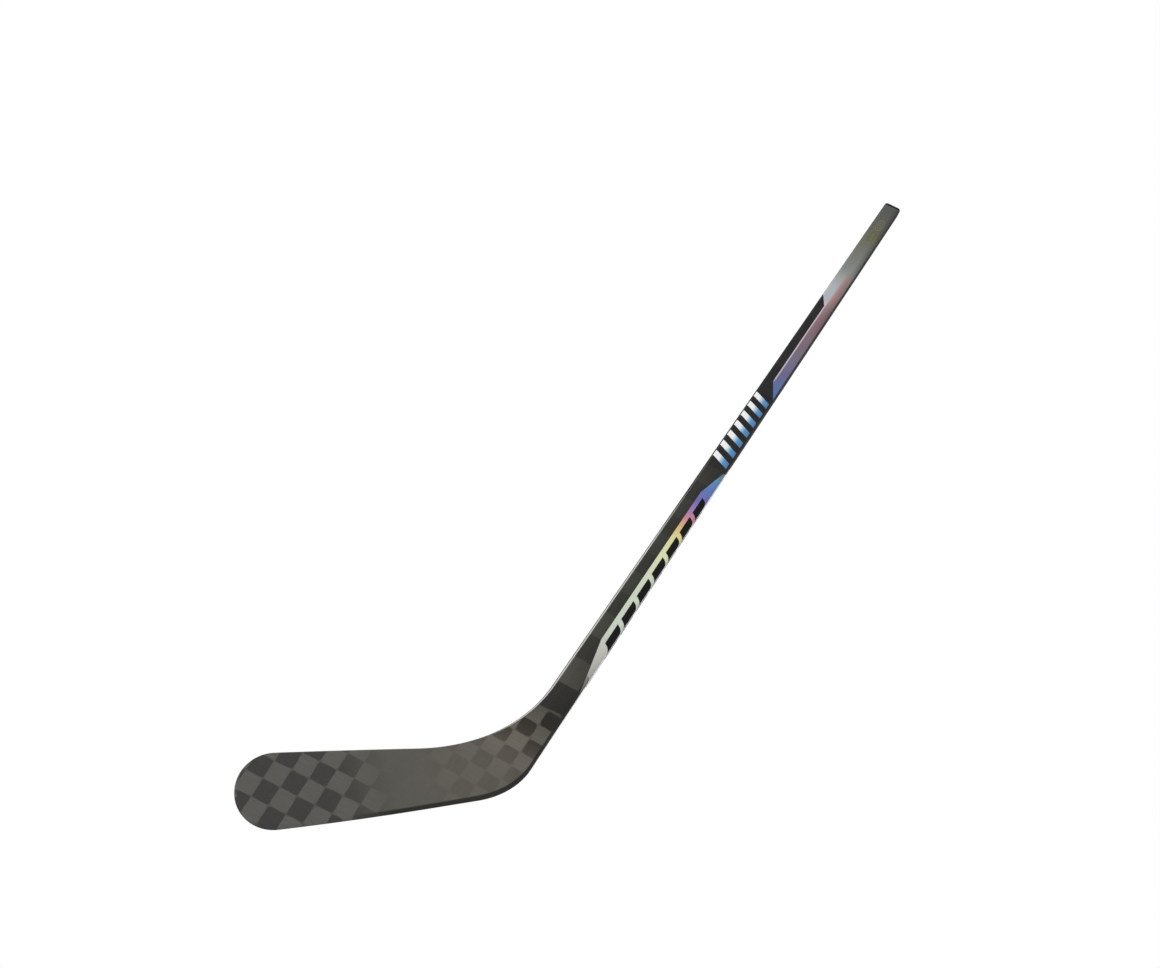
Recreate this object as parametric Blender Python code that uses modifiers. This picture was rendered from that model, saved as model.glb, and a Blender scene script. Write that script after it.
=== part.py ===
"""Composite ice hockey stick, left-hand curve, standing in its playing position.

Metres, +Z up. The sole rests on Z = 0 with the middle of its flat at the origin, the toe points to -X, and
the shaft rises from the heel towards +X and +Z. The backhand, which is the convex face, looks to -Y.
"""
import math

import bmesh
import bpy
from mathutils import Matrix, Vector

MM = 0.001
FIT = 0.3 * MM                       # clearance between glued or nested pieces

HEEL_POINT = Vector((54 * MM, 0.0, 0.0))     # where the sole's line and the shaft's back edge would cross

# Shaft ------------------------------------------------------------------------------------------------
LIE = math.radians(45.0)             # angle between the sole and the shaft
STICK_LENGTH = 1524 * MM             # heel point to butt, along the back edge (60 in)
SHAFT_WIDTH = 30 * MM
SHAFT_THICK = 20 * MM
SHAFT_CORNER = 5 * MM
SLEEVE_WALL = 0.7 * MM
TUBE_WALL = 1.5 * MM
JOINT_AT = 170 * MM                  # where the shaft begins, measured along it from the heel

# Inside the shaft --------------------------------------------------------------------------------------
BOND_WALL = 0.5 * MM
TENON_LENGTH = 72 * MM
TENON_CORNER = 2.6 * MM
DAM_LENGTH = 35 * MM

# Plug in the butt end ------------------------------------------------------------------------------------
FLANGE = 5 * MM
STEM_LENGTH = 60 * MM
STEM_WALL = 2.2 * MM
GLUE_WALL = 0.7 * MM
GLUE_LENGTH = 44 * MM

# Blade outline, measured from the heel point ----------------------------------------------------------------
TOE_X = -226.5 * MM                  # centre of the round toe
TOE_RADIUS = 37.8 * MM
ROCKER_FROM = -70 * MM               # the sole is flat behind here and curves up ahead of it
ROCKER_RADIUS = 2100 * MM
HEEL_RADIUS = 90 * MM
TOP_SLOPE = math.radians(7.1)        # the top edge falls from the toe to the throat
THROAT_RADIUS = 194 * MM

# Blade section --------------------------------------------------------------------------------------------
TOE_THICK = 5.6 * MM
HEEL_THICK = 9.5 * MM
EDGE_WIDTH = 3.0 * MM                # how far the edge wrap reaches in from the outline
EDGE_WIDTH_NECK = 5.6 * MM
EDGE_ROUND = 1.7 * MM
SKIN = 1.0 * MM
RIB = 2.4 * MM
RIB_AT = 0.46                        # height of the rib as a share of the core
CURVE_DEPTH = 15.4 * MM              # sideways sweep of the blade at CURVE_LENGTH from the heel
CURVE_LENGTH = 300 * MM
FACE_OPEN = math.radians(11.7)       # twist of the face at the same distance
TWIST_HEIGHT = 30 * MM

# Films on the shaft ---------------------------------------------------------------------------------------
FILM = 0.25 * MM

ALONG = Vector((math.cos(LIE), 0.0, math.sin(LIE)))      # up the shaft
ACROSS = Vector((-math.sin(LIE), 0.0, math.cos(LIE)))    # from its back edge to its front edge


# Scene helpers --------------------------------------------------------------------------------------------
def clear_scene():
    for ob in list(bpy.data.objects):
        bpy.data.objects.remove(ob, do_unlink=True)


def collection(name):
    found = bpy.data.collections.new(name)
    bpy.context.scene.collection.children.link(found)
    return found


def material(name, colour, roughness, metallic):
    mat = bpy.data.materials.new(name)
    mat.use_nodes = True
    shader = mat.node_tree.nodes["Principled BSDF"]
    shader.inputs["Base Color"].default_value = (*colour, 1.0)
    shader.inputs["Roughness"].default_value = roughness
    shader.inputs["Metallic"].default_value = metallic
    return mat


def add_object(name, data, home, mat=None):
    ob = bpy.data.objects.new(name, data)
    home.objects.link(ob)
    if mat:
        data.materials.append(mat)
    return ob


def shade(ob, angle=math.radians(35)):
    ob.data.shade_smooth()
    ob.data.set_sharp_from_angle(angle=angle)


def smooth(t):
    t = min(1.0, max(0.0, t))
    return t * t * (3 - 2 * t)


def arc(centre, radius, start, end, steps):
    """Points of an arc in the plane, both ends included; angles in radians."""
    points = []
    for i in range(steps + 1):
        a = start + (end - start) * i / steps
        points.append((centre[0] + radius * math.cos(a), centre[1] + radius * math.sin(a)))
    return points


# Flat outlines made solid ----------------------------------------------------------------------------------
def rounded_rectangle(width, depth, radius, steps=5):
    points = []
    for cx, cy, start in ((1, 1, 0.0), (-1, 1, 0.5), (-1, -1, 1.0), (1, -1, 1.5)):
        centre = (cx * (width / 2 - radius), cy * (depth / 2 - radius))
        points += arc(centre, radius, start * math.pi, (start + 0.5) * math.pi, steps)
    return points


def outline_mesh(name, outlines, height):
    """A flat 2D curve filled between its outlines and extruded, as a mesh about its middle."""
    curve = bpy.data.curves.new(name, "CURVE")
    curve.dimensions = "2D"
    curve.fill_mode = "BOTH"
    curve.extrude = height / 2
    for outline in outlines:
        spline = curve.splines.new("POLY")
        spline.points.add(len(outline) - 1)
        for point, (x, y) in zip(spline.points, outline):
            point.co = (x, y, 0.0, 1.0)
        spline.use_cyclic_u = True
    carrier = bpy.data.objects.new(name + "_curve", curve)
    bpy.context.scene.collection.objects.link(carrier)
    bpy.context.view_layer.update()
    evaluated = carrier.evaluated_get(bpy.context.evaluated_depsgraph_get())
    mesh = bpy.data.meshes.new_from_object(evaluated)
    bpy.data.objects.remove(carrier, do_unlink=True)
    bpy.data.curves.remove(curve)
    mesh.name = name
    bm = bmesh.new()
    bm.from_mesh(mesh)
    bmesh.ops.remove_doubles(bm, verts=bm.verts, dist=0.00001)
    bmesh.ops.recalc_face_normals(bm, faces=bm.faces)
    bm.to_mesh(mesh)
    bm.free()
    return mesh


def on_axis(along):
    """Point on the shaft's middle line at a distance from the heel point."""
    return HEEL_POINT + ALONG * along + ACROSS * (SHAFT_WIDTH / 2)


def along_shaft(ob, start, end):
    """Turns an outline made in XY into a length of shaft between two distances from the heel."""
    ob.location = on_axis((start + end) / 2)
    ob.rotation_euler = (0.0, math.pi / 2 - LIE, 0.0)


def shaft_piece(name, home, mat, size, start, end, hole=None):
    """A length of the shaft's own section. size and hole are (width, thickness, corner)."""
    outlines = [rounded_rectangle(*size)]
    if hole:
        outlines.append(rounded_rectangle(*hole))
    ob = add_object(name, outline_mesh(name, outlines, end - start), home, mat)
    along_shaft(ob, start, end)
    shade(ob)
    return ob


def shrink(size, by):
    """The same rounded section, smaller all round."""
    width, thick, corner = size
    return (width - 2 * by, thick - 2 * by, max(corner - by, 0.6 * MM))


def boolean(ob, cutter, operation):
    mod = ob.modifiers.new(operation.lower() + "_" + cutter.name, "BOOLEAN")
    mod.operation = operation
    mod.solver = "EXACT"
    mod.object = cutter
    return mod


def film(name, home, cutters, mat, outline, wrap):
    """Thin film on the backhand side of the shaft, cut to an outline of (distance, height) points.

    Height is measured across the face from the shaft's back edge. wrap is how far past the middle plane the
    film may reach round the narrow side.
    """
    outer = shrink((SHAFT_WIDTH, SHAFT_THICK, SHAFT_CORNER), -(FIT + FILM))
    inner = shrink((SHAFT_WIDTH, SHAFT_THICK, SHAFT_CORNER), -FIT)
    start = min(s for s, p in outline) - 4 * MM
    end = max(s for s, p in outline) + 4 * MM
    ob = shaft_piece(name, home, mat, outer, start, end, hole=inner)
    middle = (start + end) / 2
    deep = SHAFT_THICK
    flat = [(SHAFT_WIDTH / 2 - p, s - middle) for s, p in outline]
    cutter = add_object(name + "_cutter", outline_mesh(name + "_cutter", [flat], deep), cutters)
    cutter.matrix_world = (Matrix.Translation(on_axis(middle))
                           @ Matrix.Rotation(math.pi / 2 - LIE, 4, "Y")
                           @ Matrix.Translation((0.0, wrap - deep / 2, 0.0))
                           @ Matrix.Rotation(math.pi / 2, 4, "X"))
    cutter.display_type = "WIRE"
    cutter.hide_render = True
    boolean(ob, cutter, "INTERSECT")
    return ob


# Outline of the blade and the neck ---------------------------------------------------------------------------
def toe_centre():
    """The toe's circle touches the rocker's circle from inside."""
    reach = ROCKER_RADIUS - TOE_RADIUS
    drop = math.sqrt(reach ** 2 - (TOE_X - ROCKER_FROM) ** 2)
    return Vector((TOE_X, ROCKER_RADIUS - drop))


def throat_centre():
    """The throat's circle touches the top edge and the front edge of the shaft from outside."""
    up = Vector((math.sin(TOP_SLOPE), math.cos(TOP_SLOPE)))
    front = Vector((-math.sin(LIE), math.cos(LIE)))
    top_level = up.dot(toe_centre()) + TOE_RADIUS + THROAT_RADIUS
    front_level = SHAFT_WIDTH + THROAT_RADIUS
    det = up.x * front.y - up.y * front.x
    x = (top_level * front.y - front_level * up.y) / det
    z = (front_level * up.x - top_level * front.x) / det
    return Vector((x, z))


TOE = toe_centre()
THROAT = throat_centre()
HEEL = Vector((-HEEL_RADIUS * (1 - math.cos(LIE)) / math.sin(LIE), HEEL_RADIUS))
UP_SHAFT = Vector((math.cos(LIE), math.sin(LIE)))
OVER_SHAFT = Vector((-math.sin(LIE), math.cos(LIE)))


def depth_below(point):
    """How far a point lies inside the sole, the heel and the back edge."""
    arm = point - HEEL
    if arm.x <= 0:
        ahead = min(0.0, point.x - ROCKER_FROM)
        return point.y - ROCKER_RADIUS + math.sqrt(ROCKER_RADIUS ** 2 - ahead ** 2)
    if arm.dot(UP_SHAFT) >= 0:
        return point.dot(OVER_SHAFT)
    return HEEL_RADIUS - arm.length


def bottom_point(start, direction, inset):
    """Where a line that leaves the blade downwards crosses the bottom outline, inset by a distance."""
    low, high = 0.0, 0.5
    for _ in range(48):
        middle = (low + high) / 2
        if depth_below(start + direction * middle) > inset:
            low = middle
        else:
            high = middle
    return start + direction * low


def top_height(x, inset):
    """Height of the top edge ahead of the throat."""
    up = Vector((math.sin(TOP_SLOPE), math.cos(TOP_SLOPE)))
    radius = TOE_RADIUS - inset
    if x < TOE.x + up.x * radius:
        return TOE.y + math.sqrt(max(0.0, radius ** 2 - (x - TOE.x) ** 2))
    return (up.dot(TOE) + radius - up.x * x) / up.y


def toe_bottom(x, inset):
    radius = TOE_RADIUS - inset
    touch = (TOE - Vector((ROCKER_FROM, ROCKER_RADIUS))).normalized()
    if x < TOE.x + touch.x * radius:
        return TOE.y - math.sqrt(max(0.0, radius ** 2 - (x - TOE.x) ** 2))
    reach = ROCKER_RADIUS - inset
    return ROCKER_RADIUS - math.sqrt(reach ** 2 - min(0.0, x - ROCKER_FROM) ** 2)


FAN_TOP_X = THROAT.x - math.sin(TOP_SLOPE) * THROAT_RADIUS
FAN_LOW_X = THROAT.x - math.tan(TOP_SLOPE) * THROAT.y
FAN_END = THROAT.dot(UP_SHAFT)


def station(u, inset):
    """Bottom and top points of a cut across the blade: 0-1 toe, 1-2 blade, 2-3 heel fan, 3-4 neck."""
    if u <= 1:
        x = TOE.x - (TOE_RADIUS - inset) * math.cos(u * math.pi / 2)
        return Vector((x, toe_bottom(x, inset))), Vector((x, top_height(x, inset)))
    if u <= 2:
        low = TOE.x + (FAN_LOW_X - TOE.x) * (u - 1)
        high = TOE.x + (FAN_TOP_X - TOE.x) * (u - 1)
        return Vector((low, toe_bottom(low, inset))), Vector((high, top_height(high, inset)))
    if u <= 3:
        angle = -TOP_SLOPE + (LIE + TOP_SLOPE) * (u - 2)
        direction = Vector((math.sin(angle), -math.cos(angle)))
        top = THROAT + direction * (THROAT_RADIUS + inset)
        return bottom_point(top, direction, inset), top
    along = FAN_END + (JOINT_AT - FAN_END) * (u - 3)
    return (UP_SHAFT * along + OVER_SHAFT * inset,
            UP_SHAFT * along + OVER_SHAFT * (SHAFT_WIDTH - inset))


def neck_share(point):
    """0 in the blade, 1 where the neck meets the shaft."""
    return smooth((point.dot(UP_SHAFT) - 25 * MM) / (JOINT_AT - 25 * MM))


def half_thick(point):
    ahead = min(1.0, max(0.0, -point.x / (TOE_RADIUS - TOE_X)))
    blade = HEEL_THICK + (TOE_THICK - HEEL_THICK) * ahead
    return (blade + (SHAFT_THICK - blade) * neck_share(point)) / 2


def edge_width(point):
    return EDGE_WIDTH + (EDGE_WIDTH_NECK - EDGE_WIDTH) * neck_share(point)


def middle_plane(point):
    """Sideways place of the blade's middle: the curve bends the toe to +Y and the twist opens the face."""
    share = max(0.0, -point.x / CURVE_LENGTH)
    return CURVE_DEPTH * share ** 2 - math.tan(FACE_OPEN * share) * (point.y - TWIST_HEIGHT)


def place(point, side):
    return HEEL_POINT + Vector((point.x, middle_plane(point) + side, point.y))


def loft(name, rings, home, mat):
    """Closed solid through rings of equal count, with a face on each end."""
    bm = bmesh.new()
    rows = [[bm.verts.new(co) for co in ring] for ring in rings]
    count = len(rows[0])
    for one, two in zip(rows, rows[1:]):
        for i in range(count):
            j = (i + 1) % count
            bm.faces.new((one[i], one[j], two[j], two[i]))
    bm.faces.new(rows[0])
    bm.faces.new(list(reversed(rows[-1])))
    bmesh.ops.recalc_face_normals(bm, faces=bm.faces)
    mesh = bpy.data.meshes.new(name)
    bm.to_mesh(mesh)
    bm.free()
    ob = add_object(name, mesh, home, mat)
    shade(ob)
    return ob


def spread(start, end, steps):
    return [start + (end - start) * i / steps for i in range(steps + 1)]


def block(name, home, mat, cuts, heights, layer, grow=(0.0, 0.0), across=3):
    """A piece of the blade's inside between two heights and two layers of its thickness.

    heights are shares of the inside height and grow moves them by a length. layer gives the two sides from
    the half thickness.
    """
    rings = []
    for u in cuts:
        low, high = station(u, 0.0)
        inset_low = edge_width(low) + FIT
        inset_high = edge_width(high) + FIT
        low = station(u, inset_low)[0]
        high = station(u, inset_high)[1]
        rise = high - low
        start = rise.length * heights[0] + grow[0]
        end = rise.length * heights[1] + grow[1]
        rise.normalize()
        points = [low + rise * p for p in spread(start, end, across)]
        ring = []
        for point in points:
            ring.append(place(point, layer(half_thick(point))[0]))
        for point in reversed(points):
            ring.append(place(point, layer(half_thick(point))[1]))
        rings.append(ring)
    return loft(name, rings, home, mat)


def outline_path():
    """Points of the whole outline with their inward normals, from the neck's back edge round to its front."""
    path = []
    back = -OVER_SHAFT
    for along in spread(JOINT_AT, HEEL_RADIUS * math.tan(LIE / 2), 10)[:-1]:
        path.append((UP_SHAFT * along, OVER_SHAFT.copy()))
    for x, y in arc((0, 0), 1.0, math.atan2(back.y, back.x), -math.pi / 2, 8):
        path.append((HEEL + Vector((x, y)) * HEEL_RADIUS, Vector((-x, -y))))
    rocker = Vector((ROCKER_FROM, ROCKER_RADIUS))
    touch = TOE - rocker
    for x, y in arc((0, 0), 1.0, -math.pi / 2, math.atan2(touch.y, touch.x), 8)[:-1]:
        path.append((rocker + Vector((x, y)) * ROCKER_RADIUS, Vector((-x, -y))))
    for x, y in arc((0, 0), 1.0, math.atan2(touch.y, touch.x), -1.5 * math.pi - TOP_SLOPE, 24):
        path.append((TOE + Vector((x, y)) * TOE_RADIUS, Vector((-x, -y))))
    up = Vector((math.sin(TOP_SLOPE), math.cos(TOP_SLOPE)))
    for share in spread(0.0, 1.0, 8)[1:-1]:
        start = TOE + up * TOE_RADIUS
        end = THROAT - up * THROAT_RADIUS
        path.append((start + (end - start) * share, -up))
    for angle in spread(-TOP_SLOPE, LIE, 12):
        out = Vector((math.sin(angle), -math.cos(angle)))
        path.append((THROAT + out * THROAT_RADIUS, out))
    for along in spread(FAN_END, JOINT_AT, 4)[1:]:
        path.append((UP_SHAFT * along + OVER_SHAFT * SHAFT_WIDTH, -OVER_SHAFT))
    return path


def edge_wrap(home, mat):
    """Strip round the whole outline, rounded outside and square inside."""
    rings = []
    for point, inward in outline_path():
        half = half_thick(point)
        corner = EDGE_ROUND + (SHAFT_CORNER - EDGE_ROUND) * neck_share(point)
        wide = edge_width(point)
        section = [(wide, -half)]
        section += arc((corner, -half + corner), corner, -math.pi / 2, -math.pi, 4)
        section += arc((corner, half - corner), corner, math.pi, math.pi / 2, 4)
        section.append((wide, half))
        rings.append([place(point + inward * depth, side) for depth, side in section])
    return loft("edge_wrap", rings, home, mat)


# Sub-assemblies ---------------------------------------------------------------------------------------------
def build_blade(home):
    carbon = material("blade_carbon", (0.095, 0.091, 0.084), 0.42, 0.0)
    edge = material("edge_carbon", (0.05, 0.05, 0.046), 0.45, 0.0)
    foam = material("blade_foam", (0.62, 0.56, 0.40), 0.9, 0.0)
    filler = material("blade_filler", (0.30, 0.29, 0.25), 0.8, 0.0)
    rib = material("rib_carbon", (0.03, 0.03, 0.03), 0.6, 0.0)
    edge_wrap(home, edge)
    tip = 0.2
    split_toe = 1.06
    split_heel = 2.12
    whole = spread(tip, 1, 8) + spread(1, 2, 8)[1:] + spread(2, 3, 12)[1:] + spread(3, 4, 4)[1:]
    block("backhand_skin", home, carbon, whole, (0, 1), lambda h: (-h, -h + SKIN), across=4)
    block("forehand_skin", home, carbon, whole, (0, 1), lambda h: (h - SKIN, h), across=4)
    step = FIT / (FAN_LOW_X - TOE_X)
    inside = lambda h: (-h + SKIN + FIT, h - SKIN - FIT)
    toe_cuts = spread(tip, 1, 8) + [split_toe]
    core_cuts = spread(split_toe + step, 2, 7) + [2.06, split_heel - step]
    heel_cuts = spread(split_heel + step, 3, 10) + spread(3, 4, 4)[1:]
    block("toe_core", home, filler, toe_cuts, (0, 1), inside)
    block("lower_core", home, foam, core_cuts, (0, RIB_AT), inside, grow=(0, -RIB / 2 - FIT))
    block("bridge_rib", home, rib, core_cuts, (RIB_AT, RIB_AT), inside, grow=(-RIB / 2, RIB / 2), across=1)
    block("upper_core", home, foam, core_cuts, (RIB_AT, 1), inside, grow=(RIB / 2 + FIT, 0))
    block("heel_core", home, filler, heel_cuts, (0, 1), inside)


def build_shaft(home):
    fabric = material("shaft_fabric", (0.012, 0.012, 0.013), 0.25, 0.0)
    wall = material("shaft_wall", (0.02, 0.02, 0.02), 0.6, 0.0)
    tenon_mat = material("tenon_carbon", (0.03, 0.03, 0.03), 0.6, 0.0)
    glue = material("bond_epoxy", (0.55, 0.45, 0.22), 0.4, 0.0)
    foam = material("dam_foam", (0.85, 0.84, 0.78), 0.9, 0.0)
    outer = (SHAFT_WIDTH, SHAFT_THICK, SHAFT_CORNER)
    tube = shrink(outer, SLEEVE_WALL + FIT)
    bore = shrink(tube, TUBE_WALL)
    start = JOINT_AT + FIT
    end = STICK_LENGTH - FLANGE - FIT
    shaft_piece("shaft_sleeve", home, fabric, outer, start, end, hole=shrink(outer, SLEEVE_WALL))
    shaft_piece("shaft_tube", home, wall, tube, start, end, hole=bore)
    bond = shrink(bore, FIT)
    tenon = shrink(bond, BOND_WALL + FIT)
    tenon_end = start + TENON_LENGTH
    bond_start = start + 3 * MM
    shaft_piece("tenon_bond", home, glue, bond, bond_start, tenon_end - 2 * MM,
                hole=shrink(bond, BOND_WALL))
    shaft_piece("blade_tenon", home, tenon_mat, tenon, start, tenon_end)
    dam_start = tenon_end + FIT
    shaft_piece("foam_dam", home, foam, shrink(bore, FIT), dam_start, dam_start + DAM_LENGTH)
    return bore


def build_plug(home, bore):
    """Plug with a flange that covers the end of the shaft and a hollow stem inside it; it slides out."""
    black = material("plug_plastic", (0.012, 0.012, 0.012), 0.45, 0.0)
    hot_melt = material("plug_hot_melt", (0.80, 0.74, 0.52), 0.35, 0.0)
    joint = bpy.data.objects.new("plug_slide", None)
    home.objects.link(joint)
    joint.location = on_axis(STICK_LENGTH - FLANGE)
    joint.rotation_euler = (0.0, math.pi / 2 - LIE, 0.0)
    glue = shrink(bore, FIT)
    stem = shrink(glue, GLUE_WALL + FIT)
    outer = (SHAFT_WIDTH, SHAFT_THICK, SHAFT_CORNER)
    flange = add_object("end_plug", outline_mesh("end_plug", [rounded_rectangle(*outer)], FLANGE), home,
                        black)
    flange.parent = joint
    flange.location = (0.0, 0.0, FLANGE / 2)
    edge = flange.modifiers.new("edge_round", "BEVEL")
    edge.width = 1.2 * MM
    edge.segments = 3
    edge.limit_method = "ANGLE"
    edge.angle_limit = math.radians(50)
    tube = outline_mesh("stem", [rounded_rectangle(*stem)], STEM_LENGTH + 2 * MM)
    hollow = outline_mesh("stem_bore", [rounded_rectangle(*shrink(stem, STEM_WALL))], STEM_LENGTH)
    return joint, flange, tube, hollow, glue, hot_melt


def finish_plug(home, cutters, parts):
    joint, flange, tube, hollow, glue, hot_melt = parts
    stem = add_object("stem_tool", tube, cutters)
    stem.parent = joint
    stem.location = (0.0, 0.0, (2 * MM - STEM_LENGTH) / 2)
    bore = add_object("stem_bore_tool", hollow, cutters)
    bore.parent = joint
    bore.location = (0.0, 0.0, -STEM_LENGTH / 2 - 1 * MM)
    for tool in (stem, bore):
        tool.display_type = "WIRE"
        tool.hide_render = True
    boolean(flange, stem, "UNION")
    boolean(flange, bore, "DIFFERENCE")
    shade(flange)
    sleeve = outline_mesh("plug_glue", [rounded_rectangle(*glue),
                                        rounded_rectangle(*shrink(glue, GLUE_WALL))], GLUE_LENGTH)
    ob = add_object("plug_glue", sleeve, home, hot_melt)
    ob.parent = joint
    ob.location = (0.0, 0.0, -8 * MM - GLUE_LENGTH / 2)
    shade(ob)


def build_films(home, cutters):
    lower = material("lower_foil_film", (0.62, 0.66, 0.58), 0.22, 0.6)
    upper = material("upper_foil_film", (0.34, 0.32, 0.42), 0.25, 0.6)
    ink = material("mark_film", (0.30, 0.42, 0.62), 0.3, 0.1)
    label = material("label_film", (0.16, 0.16, 0.10), 0.5, 0.0)
    badge = material("badge_film", (0.30, 0.31, 0.32), 0.3, 0.3)
    past = -3 * MM
    over = SHAFT_WIDTH + 3 * MM
    spike = [(130, 1.0), (224, 11.5), (300, 13.0), (390, 13.0), (450, 10.0), (535, 12.0), (572, 5.0)]
    outline = [(s * MM, p * MM) for s, p in spike]
    outline = outline[1:] + [(590 * MM, past), (JOINT_AT + 8 * MM, past), (JOINT_AT + 8 * MM, 5.5 * MM)]
    film("lower_foil", home, cutters, lower, outline, 5 * MM)
    wedge = [(775 * MM, past), (793 * MM, 3 * MM), (838 * MM, 14 * MM), (1091 * MM, 15.7 * MM)]
    wedge += [(1126 * MM, 26.6 * MM), (1146 * MM, over), (1335 * MM, over), (1335 * MM, past)]
    film("upper_foil", home, cutters, upper, wedge, 0.0)
    lean = 12 * MM
    panel = [(600 * MM, 8 * MM), (790 * MM, 8 * MM), (790 * MM + lean, 24 * MM), (600 * MM + lean, 24 * MM)]
    film("mark_panel", home, cutters, ink, panel, 0.0)
    tag = [(1350 * MM, 7 * MM), (1392 * MM, 7 * MM), (1392 * MM, 23 * MM), (1350 * MM, 23 * MM)]
    film("spec_label", home, cutters, label, tag, 0.0)
    oval = [(1434 * MM + 24 * MM * x, 15 * MM + 7 * MM * y) for x, y in arc((0, 0), 1.0, 0, 2 * math.pi, 32)]
    film("oval_badge", home, cutters, badge, oval[:-1], 0.0)


def main():
    clear_scene()
    stick = collection("ice_hockey_stick")
    cutters = collection("cutters")
    build_blade(stick)
    bore = build_shaft(stick)
    plug = build_plug(stick, bore)
    finish_plug(stick, cutters, plug)
    build_films(stick, cutters)


main()
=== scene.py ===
"""Ice hockey stick in its playing position: surfaces, graphics, finishes and a plain studio."""
import logging
import math
from dataclasses import dataclass, field
from enum import Enum
from typing import Callable, Sequence

import bmesh
import bpy
from mathutils import Matrix, Vector, noise


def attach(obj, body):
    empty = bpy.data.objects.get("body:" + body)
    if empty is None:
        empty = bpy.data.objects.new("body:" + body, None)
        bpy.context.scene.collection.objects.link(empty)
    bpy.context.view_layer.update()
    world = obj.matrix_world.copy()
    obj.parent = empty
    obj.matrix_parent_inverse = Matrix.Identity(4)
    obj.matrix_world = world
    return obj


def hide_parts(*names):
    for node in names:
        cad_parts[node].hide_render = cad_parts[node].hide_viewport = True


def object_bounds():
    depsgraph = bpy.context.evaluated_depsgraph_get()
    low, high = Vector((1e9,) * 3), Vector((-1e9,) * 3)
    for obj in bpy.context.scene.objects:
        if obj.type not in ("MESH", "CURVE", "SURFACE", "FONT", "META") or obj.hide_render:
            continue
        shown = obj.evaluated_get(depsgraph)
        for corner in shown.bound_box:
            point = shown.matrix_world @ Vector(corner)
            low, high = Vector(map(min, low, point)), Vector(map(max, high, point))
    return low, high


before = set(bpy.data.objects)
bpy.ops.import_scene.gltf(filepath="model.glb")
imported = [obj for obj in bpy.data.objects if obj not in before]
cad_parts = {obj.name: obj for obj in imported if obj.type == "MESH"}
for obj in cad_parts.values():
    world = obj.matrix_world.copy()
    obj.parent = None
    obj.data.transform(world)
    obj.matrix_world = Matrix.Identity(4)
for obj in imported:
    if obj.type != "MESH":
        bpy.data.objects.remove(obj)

LOG = logging.getLogger("stick")
MM = 0.001
PER_METRE = 1000.0
CAD_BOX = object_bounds()
Point = tuple[float, float]
Span = tuple[float, float]
Rgb = tuple[int, int, int]
Stops = tuple[tuple[float, Rgb], ...]
Section = list[tuple[Vector, float, float]]


# Shader maths ------------------------------------------------------------------------------------
class Field:
    """A shader socket that takes part in Python arithmetic."""

    def __init__(self, graph: "Graph", socket: bpy.types.NodeSocket) -> None:
        """Keep the socket and the graph it belongs to."""
        self.graph = graph
        self.socket = socket

    def _math(self, operation: str, *values: "Field | float") -> "Field":
        """Add one Math node over this socket and the values."""
        return self.graph.node("ShaderNodeMath", {"operation": operation}, [self, *values])

    def __add__(self, other: "Field | float") -> "Field":
        """self + other."""
        return self._math("ADD", other)

    __radd__ = __add__

    def __mul__(self, other: "Field | float") -> "Field":
        """self * other."""
        return self._math("MULTIPLY", other)

    __rmul__ = __mul__

    def __sub__(self, other: "Field | float") -> "Field":
        """self - other."""
        return self._math("SUBTRACT", other)

    def __rsub__(self, other: "Field | float") -> "Field":
        """other - self."""
        return self.graph.node("ShaderNodeMath", {"operation": "SUBTRACT"}, [other, self])

    def __truediv__(self, other: "Field | float") -> "Field":
        """self / other."""
        return self._math("DIVIDE", other)

    def sin(self) -> "Field":
        """Sine of the value in radians."""
        return self._math("SINE")

    def absolute(self) -> "Field":
        """Size without sign."""
        return self._math("ABSOLUTE")

    def least(self, other: "Field | float") -> "Field":
        """The smaller of two values."""
        return self._math("MINIMUM", other)

    def most(self, other: "Field | float") -> "Field":
        """The larger of two values."""
        return self._math("MAXIMUM", other)

    def rise(self, start: float, end: float) -> "Field":
        """Smooth step from 0 at start to 1 at end; start may lie above end.

        Args:
            start: value where the step begins.
            end: value where the step is complete.

        Returns:
            The step, held between 0 and 1.
        """
        low, high, zero, one = (start, end, 0.0, 1.0) if start < end else (end, start, 1.0, 0.0)
        return self.graph.node("ShaderNodeMapRange", {"interpolation_type": "SMOOTHSTEP"},
                               {"Value": self, "From Min": low, "From Max": high,
                                "To Min": zero, "To Max": one})


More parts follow.
